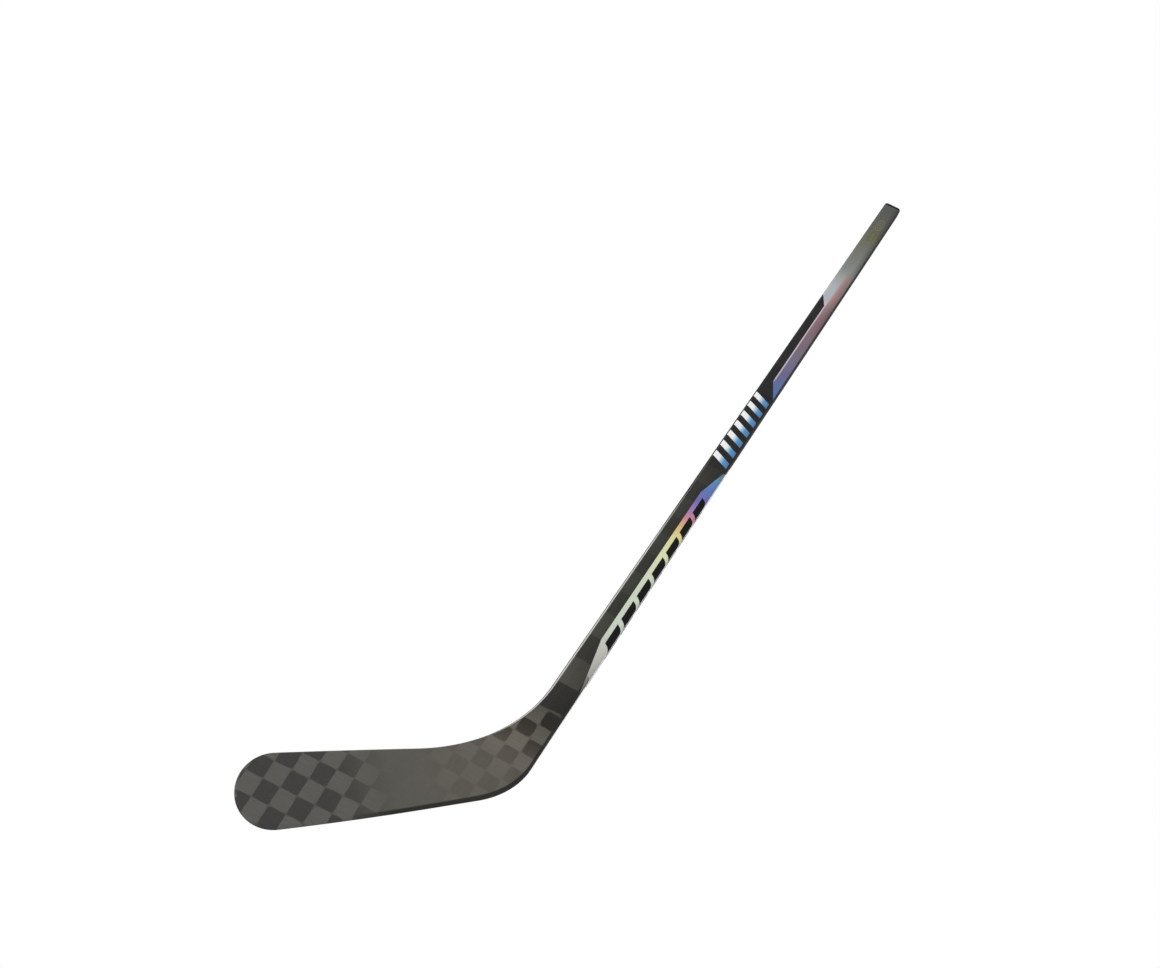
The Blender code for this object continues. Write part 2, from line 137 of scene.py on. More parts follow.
class Graph:
    """A shader node tree under construction."""

    def __init__(self, tree: bpy.types.NodeTree) -> None:
        """Keep the tree that nodes are added to."""
        self.tree = tree

    def node(self, kind: str, settings: dict[str, object] | None = None,
             values: dict[str, object] | Sequence[object] | None = None, output: str | int = 0) -> Field:
        """Add a node.

        Args:
            kind: the node's type.
            settings: attributes set before the sockets; stops is a colour ramp's list.
            values: socket values or links, by name or in order.
            output: the output socket that is wanted.

        Returns:
            The output as a Field.
        """
        made = self.tree.nodes.new(kind)
        for key, value in (settings or {}).items():
            if key == "stops":
                self._stops(made.color_ramp, value)
            else:
                setattr(made, key, value)
        items = values.items() if isinstance(values, dict) else enumerate(values or [])
        for key, value in items:
            self.put(made.inputs[key], value)
        return Field(self, made.outputs[output])

    @staticmethod
    def _stops(ramp: bpy.types.ColorRamp, stops: Sequence[tuple[float, Sequence[float]]]) -> None:
        """Fill a colour ramp with (place, colour) stops.

        Args:
            ramp: the ramp of a new node.
            stops: the stops in order, each colour scene-linear.
        """
        while len(ramp.elements) > 1:
            ramp.elements.remove(ramp.elements[-1])
        for i, (place, colour) in enumerate(stops):
            element = ramp.elements[0] if i == 0 else ramp.elements.new(place)
            element.position = place
            element.color = (*colour, 1.0)

    def put(self, socket: bpy.types.NodeSocket, value: object) -> None:
        """Link a Field to a socket or set a plain value on it.

        Args:
            socket: the input socket.
            value: a Field, a number, or three numbers for a colour or a vector.
        """
        if isinstance(value, Field):
            self.tree.links.new(value.socket, socket)
        elif isinstance(value, tuple) and len(value) == 3 and socket.type == "RGBA":
            socket.default_value = (*value, 1.0)
        else:
            socket.default_value = value


class Finish(Graph):
    """One material under construction, with its Principled shader."""

    def __init__(self, name: str) -> None:
        """Start a node material.

        Args:
            name: the material's name.
        """
        self.material = bpy.data.materials.new(name)
        self.material.use_nodes = True
        super().__init__(self.material.node_tree)
        self.shader = self.tree.nodes["Principled BSDF"]

    def place(self) -> tuple[Field, Field, Field]:
        """Object coordinates in millimetres.

        Returns:
            The three coordinates.
        """
        at = self.node("ShaderNodeTexCoord", output="Object")
        axes = [self.node("ShaderNodeSeparateXYZ", values=[at], output=i) for i in range(3)]
        return tuple(axis * PER_METRE for axis in axes)

    def attribute(self, name: str) -> Field:
        """A number stored on the mesh's points."""
        return self.node("ShaderNodeAttribute", {"attribute_name": name}, output="Fac")

    def vector(self, x: Field | float, y: Field | float, z: Field | float = 0.0) -> Field:
        """Three numbers as one vector."""
        return self.node("ShaderNodeCombineXYZ", values=[x, y, z])

    def noise(self, at: Field, scale: float, detail: float = 2.0, roughness: float = 0.5) -> Field:
        """Noise between 0 and 1 at a vector."""
        return self.node("ShaderNodeTexNoise", values={"Vector": at, "Scale": scale, "Detail": detail,
                                                       "Roughness": roughness})

    def ramp(self, value: Field, stops: Sequence[tuple[float, Sequence[float]]]) -> Field:
        """Colour looked up by a value between 0 and 1."""
        return self.node("ShaderNodeValToRGB", {"stops": stops}, [value])

    def mix(self, share: Field | float, one: object, two: object) -> Field:
        """Colour mix: one where share is 0, two where it is 1.

        Args:
            share: the mix factor.
            one: the first colour, a Field or three numbers.
            two: the second colour.

        Returns:
            The mixed colour.
        """
        factor, first, second, result = 0, 6, 7, 2  # places of the Mix node's colour sockets
        return self.node("ShaderNodeMix", {"data_type": "RGBA"},
                         {factor: share, first: one, second: two}, output=result)

    def scale_colour(self, colour: Field, factor: Field) -> Field:
        """Colour made darker or lighter by a factor."""
        return self.node("ShaderNodeVectorMath", {"operation": "SCALE"}, {"Vector": colour, "Scale": factor})

    def bump(self, height: Field, strength: float, distance: float) -> Field:
        """Normal from a height."""
        return self.node("ShaderNodeBump", values={"Height": height, "Strength": strength,
                                                   "Distance": distance})

    def finish(self, **values: object) -> bpy.types.Material:
        """Set the shader's sockets.

        Args:
            values: what each socket takes, by its name with _ for a space.

        Returns:
            The material.
        """
        for key, value in values.items():
            self.put(self.shader.inputs[key.replace("_", " ")], value)
        return self.material


def srgb(*channels: float) -> tuple[float, ...]:
    """Scene-linear colour from display values of 0 to 255."""
    shares = [value / 255 for value in channels]
    return tuple(v / 12.92 if v <= 0.04045 else ((v + 0.055) / 1.055) ** 2.4 for v in shares)


def shades(stops: Stops) -> list[tuple[float, tuple[float, ...]]]:
    """Colour stops given in display values, as scene-linear ones."""
    return [(place, srgb(*rgb)) for place, rgb in stops]


# Sizes -------------------------------------------------------------------------------------------
@dataclass(frozen=True)
class StickSizes:
    """Driving sizes of the stick, in millimetres from the heel point."""

    heel_x: float = 54.0
    lie: float = math.radians(45.0)
    length: float = 1524.0
    width: float = 30.0
    thick: float = 20.0
    corner: float = 5.0
    joint_at: float = 170.0
    flange: float = 5.0
    toe_x: float = -226.5
    toe_radius: float = 37.8
    rocker_from: float = -70.0
    rocker_radius: float = 2100.0
    heel_radius: float = 90.0
    top_slope: float = math.radians(7.1)
    throat_radius: float = 194.0
    toe_thick: float = 5.6
    heel_thick: float = 9.5
    edge_round: float = 2.6
    curve_depth: float = 15.4
    curve_length: float = 300.0
    face_open: float = math.radians(11.7)
    twist_height: float = 30.0

    @property
    def along(self) -> Vector:
        """Unit vector up the shaft in the plane of the stick."""
        return Vector((math.cos(self.lie), math.sin(self.lie)))

    @property
    def across(self) -> Vector:
        """Unit vector from the shaft's back edge to its front edge."""
        return Vector((-math.sin(self.lie), math.cos(self.lie)))

    def world(self, flat: Vector, side: float) -> Vector:
        """Point in metres from a point in the stick's plane and a sideways distance."""
        return Vector((flat.x + self.heel_x, side, flat.y)) * MM


SIZES = StickSizes()


def smooth(value: float) -> float:
    """Smooth step of a value held between 0 and 1."""
    value = min(1.0, max(0.0, value))
    return value * value * (3 - 2 * value)


def new_object(name: str, mesh: bpy.types.Mesh) -> bpy.types.Object:
    """Link a new object that holds a mesh.

    Args:
        name: the object's name.
        mesh: its mesh.

    Returns:
        The object.
    """
    made = bpy.data.objects.new(name, mesh)
    bpy.context.scene.collection.objects.link(made)
    return made


def from_bmesh(name: str, bm: bmesh.types.BMesh) -> bpy.types.Object:
    """Link a new object made from a bmesh, which is freed.

    Args:
        name: the name of the object and its mesh.
        bm: the bmesh.

    Returns:
        The object.
    """
    mesh = bpy.data.meshes.new(name)
    bm.to_mesh(mesh)
    bm.free()
    return new_object(name, mesh)


def plain_mesh(carrier: bpy.types.Object, name: str) -> bpy.types.Object:
    """Replace a carrier with a plain mesh object of what its modifiers make.

    Args:
        carrier: the object with the modifiers, which is removed.
        name: the new object's name.

    Returns:
        The plain object.
    """
    bpy.context.view_layer.update()
    evaluated = carrier.evaluated_get(bpy.context.evaluated_depsgraph_get())
    mesh = bpy.data.meshes.new_from_object(evaluated)
    mesh.name = name
    bpy.data.objects.remove(carrier, do_unlink=True)
    return new_object(name, mesh)


def loft(bm: bmesh.types.BMesh, rings: Sequence[Sequence[bmesh.types.BMVert]], endless: bool = False) -> None:
    """Skin a run of rings that have equally many points.

    Args:
        bm: the mesh that holds the rings.
        rings: the rings in order.
        endless: join the last ring to the first, where a run is otherwise closed by a face at each end.
    """
    after = [*rings[1:], rings[0]] if endless else rings[1:]
    for one, two in zip(rings, after):
        for i in range(len(one)):
            j = (i + 1) % len(one)
            bm.faces.new((one[i], one[j], two[j], two[i]))
    if not endless:
        bm.faces.new(rings[-1])
        bm.faces.new(rings[0])


def shade(piece: bpy.types.Object, angle: float) -> None:
    """Smooth shading with sharp edges past an angle in degrees."""
    piece.data.shade_smooth()
    piece.data.set_sharp_from_angle(angle=math.radians(angle))


def dress(piece: bpy.types.Object, material: bpy.types.Material) -> None:
    """Give a piece one material."""
    piece.data.materials.clear()
    piece.data.materials.append(material)


# Finishes ----------------------------------------------------------------------------------------
class StickFinish(Finish):
    """Material that knows the stick's own directions, in millimetres.

    along is the distance up the shaft, across the height across it, ahead the distance along the blade
    and side the sideways place.
    """

    def __init__(self, name: str) -> None:
        """Start a node material and read its directions.

        Args:
            name: the material's name.
        """
        super().__init__(name)
        x, y, z = self.place()
        cos, sin = math.cos(SIZES.lie), math.sin(SIZES.lie)
        self.ahead, self.side = x - SIZES.heel_x, y
        self.along = self.ahead * cos + z * sin
        self.across = z * cos - self.ahead * sin

    def grain(self, along: float, across: float, detail: float, side: float | None = None) -> Field:
        """Noise drawn out along or across the stick.

        Args:
            along: changes for each millimetre along the shaft.
            across: changes for each millimetre across it.
            detail: detail of the noise.
            side: changes for each millimetre sideways, as across where it isn't given.

        Returns:
            The noise, between 0 and 1.
        """
        side = across if side is None else side
        at = self.vector(self.along * along, self.across * across, self.side * side)
        return self.noise(at, 1.0, detail)


@dataclass(frozen=True)
class Checks:
    """One run of the woven cells: where a cell starts, its size, and how the rows lean."""

    start: float
    length: float
    row: float
    height: float
    lean: float = 0.0
    drop: float = 0.0

    def along(self, s: Field, p: Field) -> Field:
        """Wave along the shaft's direction, from the distance s and the height p."""
        return ((s + p * self.lean - self.start) * (math.pi / self.length)).sin()

    def across(self, s: Field, p: Field) -> Field:
        """Wave across the shaft's direction."""
        return ((p - s * self.drop - self.row) * (math.pi / self.height)).sin()


@dataclass(frozen=True)
class CarbonFinish:
    """Spread-tow carbon under a clear coat: cells bold at the toe and the neck, worn away between.

    Each span gives the two places, in millimetres, between which something fades in; jitter is how far
    the cells' edges wander along and across. The blade's colours start blade_ahead of the heel point and
    run back over blade_run, and the places of the neck's colours are shares of the stick's length.
    """

    toe: Checks = Checks(-107.0, 20.7, 180.4, 18.5, 0.10, 0.08)
    heel: Checks = Checks(22.8, 20.4, 18.0, 18.3)
    jitter: Span = (2.2, 1.8)
    stretch_from: float = 103.0
    stretch: float = 0.5
    one_row: Span = (104.0, 112.0)
    toe_cells: Span = (-110.0, -160.0)
    heel_cells: Span = (-92.0, -62.0)
    neck_cells: Span = (0.0, 34.0)
    neck: Span = (22.0, 50.0)
    gloss: Span = (10.0, 90.0)
    # Where the painted sheen on the shaft's front half fades out
    painted_front_sheen: Span = (640.0, 560.0)
    blade_ahead: float = 270.0
    blade_run: float = 280.0
    blade_pale: Stops = ((0.0, (92, 90, 85)), (0.3, (92, 90, 85)), (0.55, (95, 93, 85)),
                         (0.75, (100, 96, 88)), (1.0, (103, 98, 90)))
    blade_dark: Stops = ((0.0, (65, 63, 60)), (0.35, (66, 64, 61)), (0.55, (82, 80, 73)),
                         (0.75, (88, 84, 76)), (1.0, (86, 81, 72)))
    neck_pale: Stops = ((0.02, (102, 98, 89)), (0.045, (96, 92, 82)), (0.065, (78, 75, 68)),
                        (0.12, (66, 66, 58)), (0.2, (54, 56, 48)), (0.36, (51, 51, 46)),
                        (0.42, (36, 35, 34)), (0.9, (30, 30, 30)))
    neck_dark: Stops = ((0.02, (86, 81, 72)), (0.034, (72, 67, 58)), (0.045, (56, 51, 45)),
                        (0.06, (42, 38, 33)), (0.08, (43, 42, 39)), (0.12, (48, 47, 42)),
                        (0.2, (47, 49, 42)), (0.36, (44, 43, 39)), (0.42, (31, 30, 30)),
                        (0.9, (26, 26, 26)))
    # Painted shade under the rounded sole and up the heel edge
    painted_sole_shade: Rgb = (40, 39, 36)
    # Painted highlight along the rounded top edge of the blade
    painted_crest_highlight: Rgb = (138, 136, 128)
    # Painted highlight on the shaft's rounded front corner
    painted_corner_highlight: Rgb = (204, 204, 200)
    spike_at: float = 148.0
    spike_rise: float = 0.150
    spike_silver: Stops = ((0.0, (96, 96, 94)), (0.6, (150, 149, 145)), (1.0, (196, 194, 186)))

    def weave(self, g: StickFinish) -> tuple[Field, Field, Field]:
        """The woven cells.

        Args:
            g: the material under construction.

        Returns:
            How pale the tow is from 0 to 1, the folds between the cells, and a change of tone that sets
            off the neck's upper row and adds a painted sheen to the shaft's front half.
        """
        jitter = g.grain(0.06, 0.06, 2.0) - 0.5
        s, p = g.along + jitter * self.jitter[0], g.across - jitter * self.jitter[1]
        toe_wave = self.toe.along(s, p) * self.toe.across(s, p)
        # Past stretch_from the cells are drawn out, and past one_row their two rows become one.
        long_s = s.least(self.stretch_from) + (s - self.stretch_from).most(0.0) * self.stretch
        whole = g.along.rise(*self.one_row)
        row = self.heel.across(s, p)
        heel_wave = self.heel.along(long_s, p) * (row + (1.0 - row) * whole)
        toe_share = g.ahead.rise(*self.toe_cells)
        heel_share = g.ahead.rise(*self.heel_cells) * 0.55 + g.along.rise(*self.neck_cells) * 0.45
        light = 0.5 + (toe_wave.rise(0.06, -0.04) - 0.5) * toe_share
        light = light + (heel_wave.rise(0.11, -0.03) - 0.5) * heel_share
        # The folds are grooves between the cells, and they also darken the colour as painted shade
        fold_groove_and_shade = toe_wave.absolute().rise(0.12, 0.0) * toe_share
        fold_groove_and_shade = fold_groove_and_shade + heel_wave.absolute().rise(0.12, 0.0) * heel_share
        tone = (p - self.heel.row).rise(-1.0, 1.0) * g.along.rise(*self.neck) * whole.rise(1.4, 0.6) * 0.16
        # Painted sheen: the lower shaft grows lighter towards its front edge
        front = (g.across / SIZES.width - 0.4) * whole * g.along.rise(*self.painted_front_sheen)
        return light, fold_groove_and_shade, tone + front * 0.36

    def laminate(self, g: StickFinish, light: Field) -> Field:
        """Colour of the pale and the dark tow along the blade and up the shaft.

        Args:
            g: the material under construction.
            light: how pale the tow is.

        Returns:
            The laminate's colour.
        """
        blade_place, neck_place = (g.ahead + self.blade_ahead) / self.blade_run, g.along / SIZES.length
        neck = g.along.rise(*self.neck)
        pale = g.mix(neck, g.ramp(blade_place, shades(self.blade_pale)),
                     g.ramp(neck_place, shades(self.neck_pale)))
        dark = g.mix(neck, g.ramp(blade_place, shades(self.blade_dark)),
                     g.ramp(neck_place, shades(self.neck_dark)))
        return g.mix(light, dark, pale)

    def edges(self, g: StickFinish, colour: Field) -> Field:
        """Lines that follow the outline, over the laminate.

        Args:
            g: the material under construction.
            colour: the laminate's colour.

        Returns:
            The colour with a band of painted shade along the rounded sole and the heel, a pale painted
            highlight along the crest on top of the blade and a bright painted highlight on the shaft's front
            corner, on the backhand.
        """
        edge, top = g.attribute("low_edge") * PER_METRE, g.attribute("high_edge") * PER_METRE
        # Painted shade: a dark band along the rounded sole and round the heel
        width = g.ahead.rise(-60.0, 30.0) * 1.6 + 1.2
        band = (edge - width).rise(0.9, -0.3) * g.ahead.rise(-175.0, -120.0)
        colour = g.mix(band * 0.9, colour, srgb(*self.painted_sole_shade))
        # Painted highlight: a pale line along the blade's top edge near the heel
        painted_crest_highlight = top.rise(1.5, 0.3) * g.ahead.rise(60.0, 10.0)
        colour = g.mix(painted_crest_highlight * 0.45, colour, srgb(*self.painted_crest_highlight))
        # Painted highlight: a bright line on the front corner of the lower shaft, backhand side only
        line = top.rise(1.0, 1.5) * top.rise(2.8, 2.2)
        line = line * g.along.rise(30.0, 110.0) * g.along.rise(510.0, 380.0)
        return g.mix(line * g.side.rise(1.0, -1.0) * 0.85, colour, srgb(*self.painted_corner_highlight))

    def spike(self, g: StickFinish, colour: Field) -> Field:
        """Silver point that runs from the lower foil down onto the neck.

        Args:
            g: the material under construction.
            colour: the colour below it.

        Returns:
            The colour with the point.
        """
        reach = (g.along - self.spike_at) * self.spike_rise + 0.6
        foil = (reach - g.across).rise(-0.15, 0.15) * g.along.rise(self.spike_at - 1.0, self.spike_at + 1.0)
        foil = foil * g.along.rise(SIZES.joint_at + 1.0, SIZES.joint_at)
        return g.mix(foil, colour, g.ramp(g.across / 6.0, shades(self.spike_silver)))

    def build(self) -> bpy.types.Material:
        """Make the material.

        Returns:
            The finished material.
        """
        g = StickFinish("carbon_laminate")
        light, fold_groove_and_shade, tone = self.weave(g)
        run, cross = g.grain(0.05, 2.4, 3.0), g.grain(2.4, 0.05, 3.0)
        fibre = run * (1.0 - light) + cross * light
        patch = g.grain(0.012, 0.03, 2.0)
        # The folds darken the colour here as painted shade in the grooves between the cells
        detail = fibre * 0.62 + patch * 0.10 - fold_groove_and_shade * 0.07
        # tone carries the painted sheen on the shaft's front half
        colour = g.scale_colour(self.laminate(g, light), 0.65 + detail + tone)
        colour = self.spike(g, self.edges(g, colour))
        rough = 0.46 - g.along.rise(*self.neck) * 0.2 + (fibre - 0.5) * 0.24
        return g.finish(Base_Color=colour, Roughness=rough, Coat_Weight=g.along.rise(*self.gloss) * 0.7,
                        Coat_Roughness=0.12, Coat_IOR=1.65, Normal=g.bump(fibre - fold_groove_and_shade * 0.8, 0.14, 0.0002))


@dataclass(frozen=True)
class FoilFinish:
    """Iridescent foil whose hue runs along the shaft from start to end."""

    name: str
    start: float
    end: float
    stops: Stops
    roughness: float
    metallic: float = 0.04
    drift: float = 16.0
    slant: float = 0.5
    level: float = 8.0

    def build(self, tint: Callable[[StickFinish, Field], Field] | None = None) -> bpy.types.Material:
        """Make the material.

        Args:
            tint: adds this band's own streaks to its colour.

        Returns:
            The finished material.
        """
        g = StickFinish(self.name)
        drift = (g.grain(0.01, 0.05, 2.0) - 0.5) * self.drift
        place = g.along - self.start + drift + (g.across - self.level) * self.slant
        colour = g.ramp(place / (self.end - self.start), shades(self.stops))
        grain = g.grain(0.4, 3.0, 3.0)
        colour = g.scale_colour(colour, 0.88 + grain * 0.24)
        if tint:
            colour = tint(g, colour)
        return g.finish(Base_Color=colour, Metallic=self.metallic, Roughness=self.roughness + grain * 0.12,
                        Coat_Weight=0.5, Coat_Roughness=0.1, Normal=g.bump(grain, 0.04, 0.0002))


@dataclass(frozen=True)
class PlainFinish:
    """Moulded, foamed or cast material with a fine grain and a slow change of tone."""

    name: str
    colour: tuple[float, float, float]
    roughness: float
    grain: float
    depth: float
    mottle: float = 0.12

    def build(self) -> bpy.types.Material:
        """Make the material.

        Returns:
            The finished material.
        """
        g = Finish(self.name)
        x, y, z = g.place()
        at = g.vector(x, y, z)
        fine = g.noise(at, self.grain, 3.0)
        slow = g.noise(at, self.grain * 0.07, 2.0)
        base = g.mix(fine * 0.5, self.colour, tuple(0.55 * c for c in self.colour))
        base = g.scale_colour(base, (1.0 + self.mottle) - slow * 2.0 * self.mottle)
        return g.finish(Base_Color=base, Roughness=self.roughness + (fine - 0.5) * 0.16,
                        Normal=g.bump(fine, 0.35, self.depth))


# Blade and shaft shells --------------------------------------------------------------------------
@dataclass
class Outline:
    """The closed outline of the blade and the neck in the stick's plane."""

    sizes: StickSizes = SIZES
    toe: Vector = field(init=False)
    throat: Vector = field(init=False)
    heel: Vector = field(init=False)

    def __post_init__(self) -> None:
        """Find the centres of the toe, the throat and the heel."""
        z = self.sizes
        drop = math.sqrt((z.rocker_radius - z.toe_radius) ** 2 - (z.toe_x - z.rocker_from) ** 2)
        self.toe = Vector((z.toe_x, z.rocker_radius - drop))
        up, front = self.up, z.across
        top_level = up.dot(self.toe) + z.toe_radius + z.throat_radius
        front_level = z.width + z.throat_radius
        det = up.x * front.y - up.y * front.x
        self.throat = Vector(((top_level * front.y - front_level * up.y) / det,
                              (front_level * up.x - top_level * front.x) / det))
        self.heel = Vector((-z.heel_radius * (1 - math.cos(z.lie)) / math.sin(z.lie), z.heel_radius))

    @property
    def up(self) -> Vector:
        """Outward normal of the top edge."""
        return Vector((math.sin(self.sizes.top_slope), math.cos(self.sizes.top_slope)))

    def inside(self, point: Vector) -> float:
        """How far a point lies inside the sole, the heel and the back edge.

        Args:
            point: a point of the stick's plane.

        Returns:
            The distance in millimetres, below 0 outside.
        """
        z = self.sizes
        arm = point - self.heel
        if arm.x <= 0:
            ahead = min(0.0, point.x - z.rocker_from)
            return point.y - z.rocker_radius + math.sqrt(z.rocker_radius ** 2 - ahead ** 2)
        if arm.dot(z.along) >= 0:
            return point.dot(z.across)
        return z.heel_radius - arm.length

    def drop(self, start: Vector, direction: Vector) -> Vector:
        """Halve the way along a line until it meets the bottom outline.

        Args:
            start: a point inside the outline.
            direction: the line's unit vector.

        Returns:
            Where the line first leaves the outline.
        """
        low, high, halvings = 0.0, 500.0, 48
        for _ in range(halvings):
            middle = (low + high) / 2
            if self.inside(start + direction * middle) > 0:
                low = middle
            else:
                high = middle
        return start + direction * low

    def top_at(self, x: float) -> float:
        """Height of the top edge at a place ahead of the throat: the toe's arc, then the straight edge.

        Args:
            x: the place along the blade.

        Returns:
            The height in millimetres.
        """
        z = self.sizes
        if x < self.toe.x + self.up.x * z.toe_radius:
            return self.toe.y + math.sqrt(max(0.0, z.toe_radius ** 2 - (x - self.toe.x) ** 2))
        return (self.up.dot(self.toe) + z.toe_radius - self.up.x * x) / self.up.y

    def bottom_at(self, x: float) -> float:
        """Height of the sole at a place ahead of the heel: the toe's arc, then the rocker.

        Args:
            x: the place along the blade.

        Returns:
            The height in millimetres.
        """
        z = self.sizes
        touch = (self.toe - Vector((z.rocker_from, z.rocker_radius))).normalized()
        if x < self.toe.x + touch.x * z.toe_radius:
            return self.toe.y - math.sqrt(max(0.0, z.toe_radius ** 2 - (x - self.toe.x) ** 2))
        return z.rocker_radius - math.sqrt(z.rocker_radius ** 2 - min(0.0, x - z.rocker_from) ** 2)

    def station(self, u: float) -> tuple[Vector, Vector]:
        """Both ends of a cut through the outline.

        Args:
            u: place of the cut, 0-1 in the toe, 1-2 in the blade, 2-3 in the heel and 3-4 in the neck.

        Returns:
            The bottom and the top point in the stick's plane.
        """
        z = self.sizes
        if u <= 1:
            x = self.toe.x - z.toe_radius * math.cos(u * math.pi / 2)
            return Vector((x, self.bottom_at(x))), Vector((x, self.top_at(x)))
        if u <= 2:
            low_end = self.throat.x - math.tan(z.top_slope) * self.throat.y
            high_end = self.throat.x - math.sin(z.top_slope) * z.throat_radius
            low = self.toe.x + (low_end - self.toe.x) * (u - 1)
            high = self.toe.x + (high_end - self.toe.x) * (u - 1)
            return Vector((low, self.bottom_at(low))), Vector((high, self.top_at(high)))
        if u <= 3:
            angle = -z.top_slope + (z.lie + z.top_slope) * (u - 2)
            direction = Vector((math.sin(angle), -math.cos(angle)))
            top = self.throat + direction * z.throat_radius
            return self.drop(top, direction), top
        fan_end = self.throat.dot(z.along)
        along = fan_end + (z.joint_at - fan_end) * (u - 3)
        return z.along * along, z.along * along + z.across * z.width


@dataclass(frozen=True)
class Edge:
    """One end of a cut through the blade: its point, its inward normal and the rounding there."""

    point: Vector
    inward: Vector
    radius: float


@dataclass
class Blade:
    """Blade and neck: one laminate shell that stands for both skins and the edge wrap.

    A section is a list of (point in metres, distance from the bottom edge, distance from the top edge).
    """

    sizes: StickSizes = SIZES
    toe_cuts: int = 26
    body_cuts: int = 40
    heel_cuts: int = 44
    neck_cuts: int = 20
    across_steps: int = 12
    edge_steps: int = 6
    crown: float = 0.25
    full_crown: float = 40.0
    neck_from: float = 25.0
    outline: Outline = field(default_factory=Outline)

    def neck_share(self, point: Vector) -> float:
        """0 in the blade, 1 where the neck meets the shaft."""
        return smooth((point.dot(self.sizes.along) - self.neck_from) / (self.sizes.joint_at - self.neck_from))

    def half_thick(self, point: Vector) -> float:
        """Half the thickness at a point of the plane: thin at the toe, the shaft's at the neck.

        Args:
            point: a point of the stick's plane.

        Returns:
            Half the thickness in millimetres.
        """
        z = self.sizes
        ahead = min(1.0, max(0.0, -point.x / (z.toe_radius - z.toe_x)))
        blade = z.heel_thick + (z.toe_thick - z.heel_thick) * ahead
        return (blade + (z.thick - blade) * self.neck_share(point)) / 2

    def middle(self, point: Vector) -> float:
        """Sideways place of the blade's middle: the sweep of its curve and the opening of its face.

        Args:
            point: a point of the stick's plane.

        Returns:
            The sideways distance in millimetres.
        """
        z = self.sizes
        share = max(0.0, -point.x / z.curve_length)
        return z.curve_depth * share ** 2 - math.tan(z.face_open * share) * (point.y - z.twist_height)

    def stations(self) -> list[float]:
        """Places of the cuts from the toe's tip to the end of the neck.

        Returns:
            The places, as Outline.station has them.
        """
        found = [0.0]
        for start, count in enumerate((self.toe_cuts, self.body_cuts, self.heel_cuts, self.neck_cuts)):
            found += [start + (i + 1) / count for i in range(count)]
        return found

    def inward(self, u: float, which: int) -> Vector:
        """Inward normal of the outline at a cut.

        Args:
            u: place of the cut.
            which: 0 for the bottom end, 1 for the top end.

        Returns:
            The unit vector in the stick's plane.
        """
        if u == 0.0:
            return Vector((1.0, 0.0))
        step, last = 0.002, 4.0
        before, after = max(0.0, u - step), min(last, u + step)
        run = (self.outline.station(after)[which] - self.outline.station(before)[which]).normalized()
        normal = Vector((-run.y, run.x))
        return normal if which == 0 else -normal

    def edge(self, point: Vector, inward: Vector) -> Edge:
        """One end of a cut, rounded more towards the shaft but never past half the thickness.

        Args:
            point: the end's point.
            inward: the outline's inward normal there.

        Returns:
            The end with its rounding.
        """
        z = self.sizes
        grow = z.edge_round + (z.corner - z.edge_round) * self.neck_share(point)
        return Edge(point, inward, min(grow, self.half_thick(point)))

    def face(self, low: Edge, high: Edge, side: float) -> Section:
        """One wide face of a section.

        Args:
            low: the cut's bottom end.
            high: the cut's top end.
            side: -1 or 1, the side of the middle that the face lies on.

        Returns:
            The points from the bottom rounding to the top one.
        """
        start, end = low.point + low.inward * low.radius, high.point + high.inward * high.radius
        rise = (high.point - low.point).length
        found = []
        for j in range(self.across_steps + 1):
            share = j / self.across_steps
            flat = start.lerp(end, share)
            bulge = self.crown * 4 * share * (1 - share) * (1 - self.neck_share(flat))
            reach = self.half_thick(flat) + bulge * min(1.0, rise / self.full_crown)
            place = self.sizes.world(flat, self.middle(flat) + side * reach)
            found.append((place, (flat - low.point).length * MM, (flat - high.point).length * MM))
        return found

    def bend(self, edge: Edge, rise: float, side: float, bottom: bool) -> Section:
        """The rounding of one edge of a section.

        Args:
            edge: the cut's end.
            rise: the cut's length.
            side: -1 or 1, the side of the middle that the rounding starts from.
            bottom: whether this is the bottom edge.

        Returns:
            The points between the two wide faces.
        """
        half = self.half_thick(edge.point)
        found = []
        for k in range(1, 2 * self.edge_steps):
            turn = math.pi * k / (2 * self.edge_steps)
            depth = edge.radius * (1 - math.sin(turn))
            flat = edge.point + edge.inward * depth
            way = (k < self.edge_steps) - (k > self.edge_steps)
            sideways = side * ((half - edge.radius) * way + edge.radius * math.cos(turn))
            gaps = (depth * MM, rise * MM) if bottom else (rise * MM, depth * MM)
            found.append((self.sizes.world(flat, self.middle(flat) + sideways), *gaps))
        return found

    def ring(self, u: float) -> Section:
        """Closed section at a cut, all the way round.

        Args:
            u: place of the cut.

        Returns:
            The section.
        """
        bottom, top = self.outline.station(u)
        low, high = self.edge(bottom, self.inward(u, 0)), self.edge(top, self.inward(u, 1))
        rise = (top - bottom).length
        return (self.face(low, high, -1.0) + self.bend(high, rise, -1.0, False)
                + self.face(low, high, 1.0)[::-1] + self.bend(low, rise, 1.0, True))

    def build(self, material: bpy.types.Material) -> bpy.types.Object:
        """Build the shell, dress it and tie it to the frame.

        Args:
            material: the laminate's finish.

        Returns:
            The finished piece.
        """
        bm = bmesh.new()
        low_edge = bm.verts.layers.float.new("low_edge")
        high_edge = bm.verts.layers.float.new("high_edge")
        rows = []
        for u in self.stations():
            row = []
            for place, low, high in self.ring(u):
                vert = bm.verts.new(place)
                vert[low_edge], vert[high_edge] = low, high
                row.append(vert)
            rows.append(row)
        loft(bm, rows)
        bmesh.ops.remove_doubles(bm, verts=bm.verts, dist=0.00002)
        bmesh.ops.dissolve_degenerate(bm, edges=bm.edges, dist=0.00001)
        bmesh.ops.recalc_face_normals(bm, faces=bm.faces)
        piece = from_bmesh("blade_shell", bm)
        shade(piece, 50.0)
        dress(piece, material)
        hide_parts("backhand_skin", "forehand_skin", "edge_wrap")
        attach(piece, "stick")
        return piece


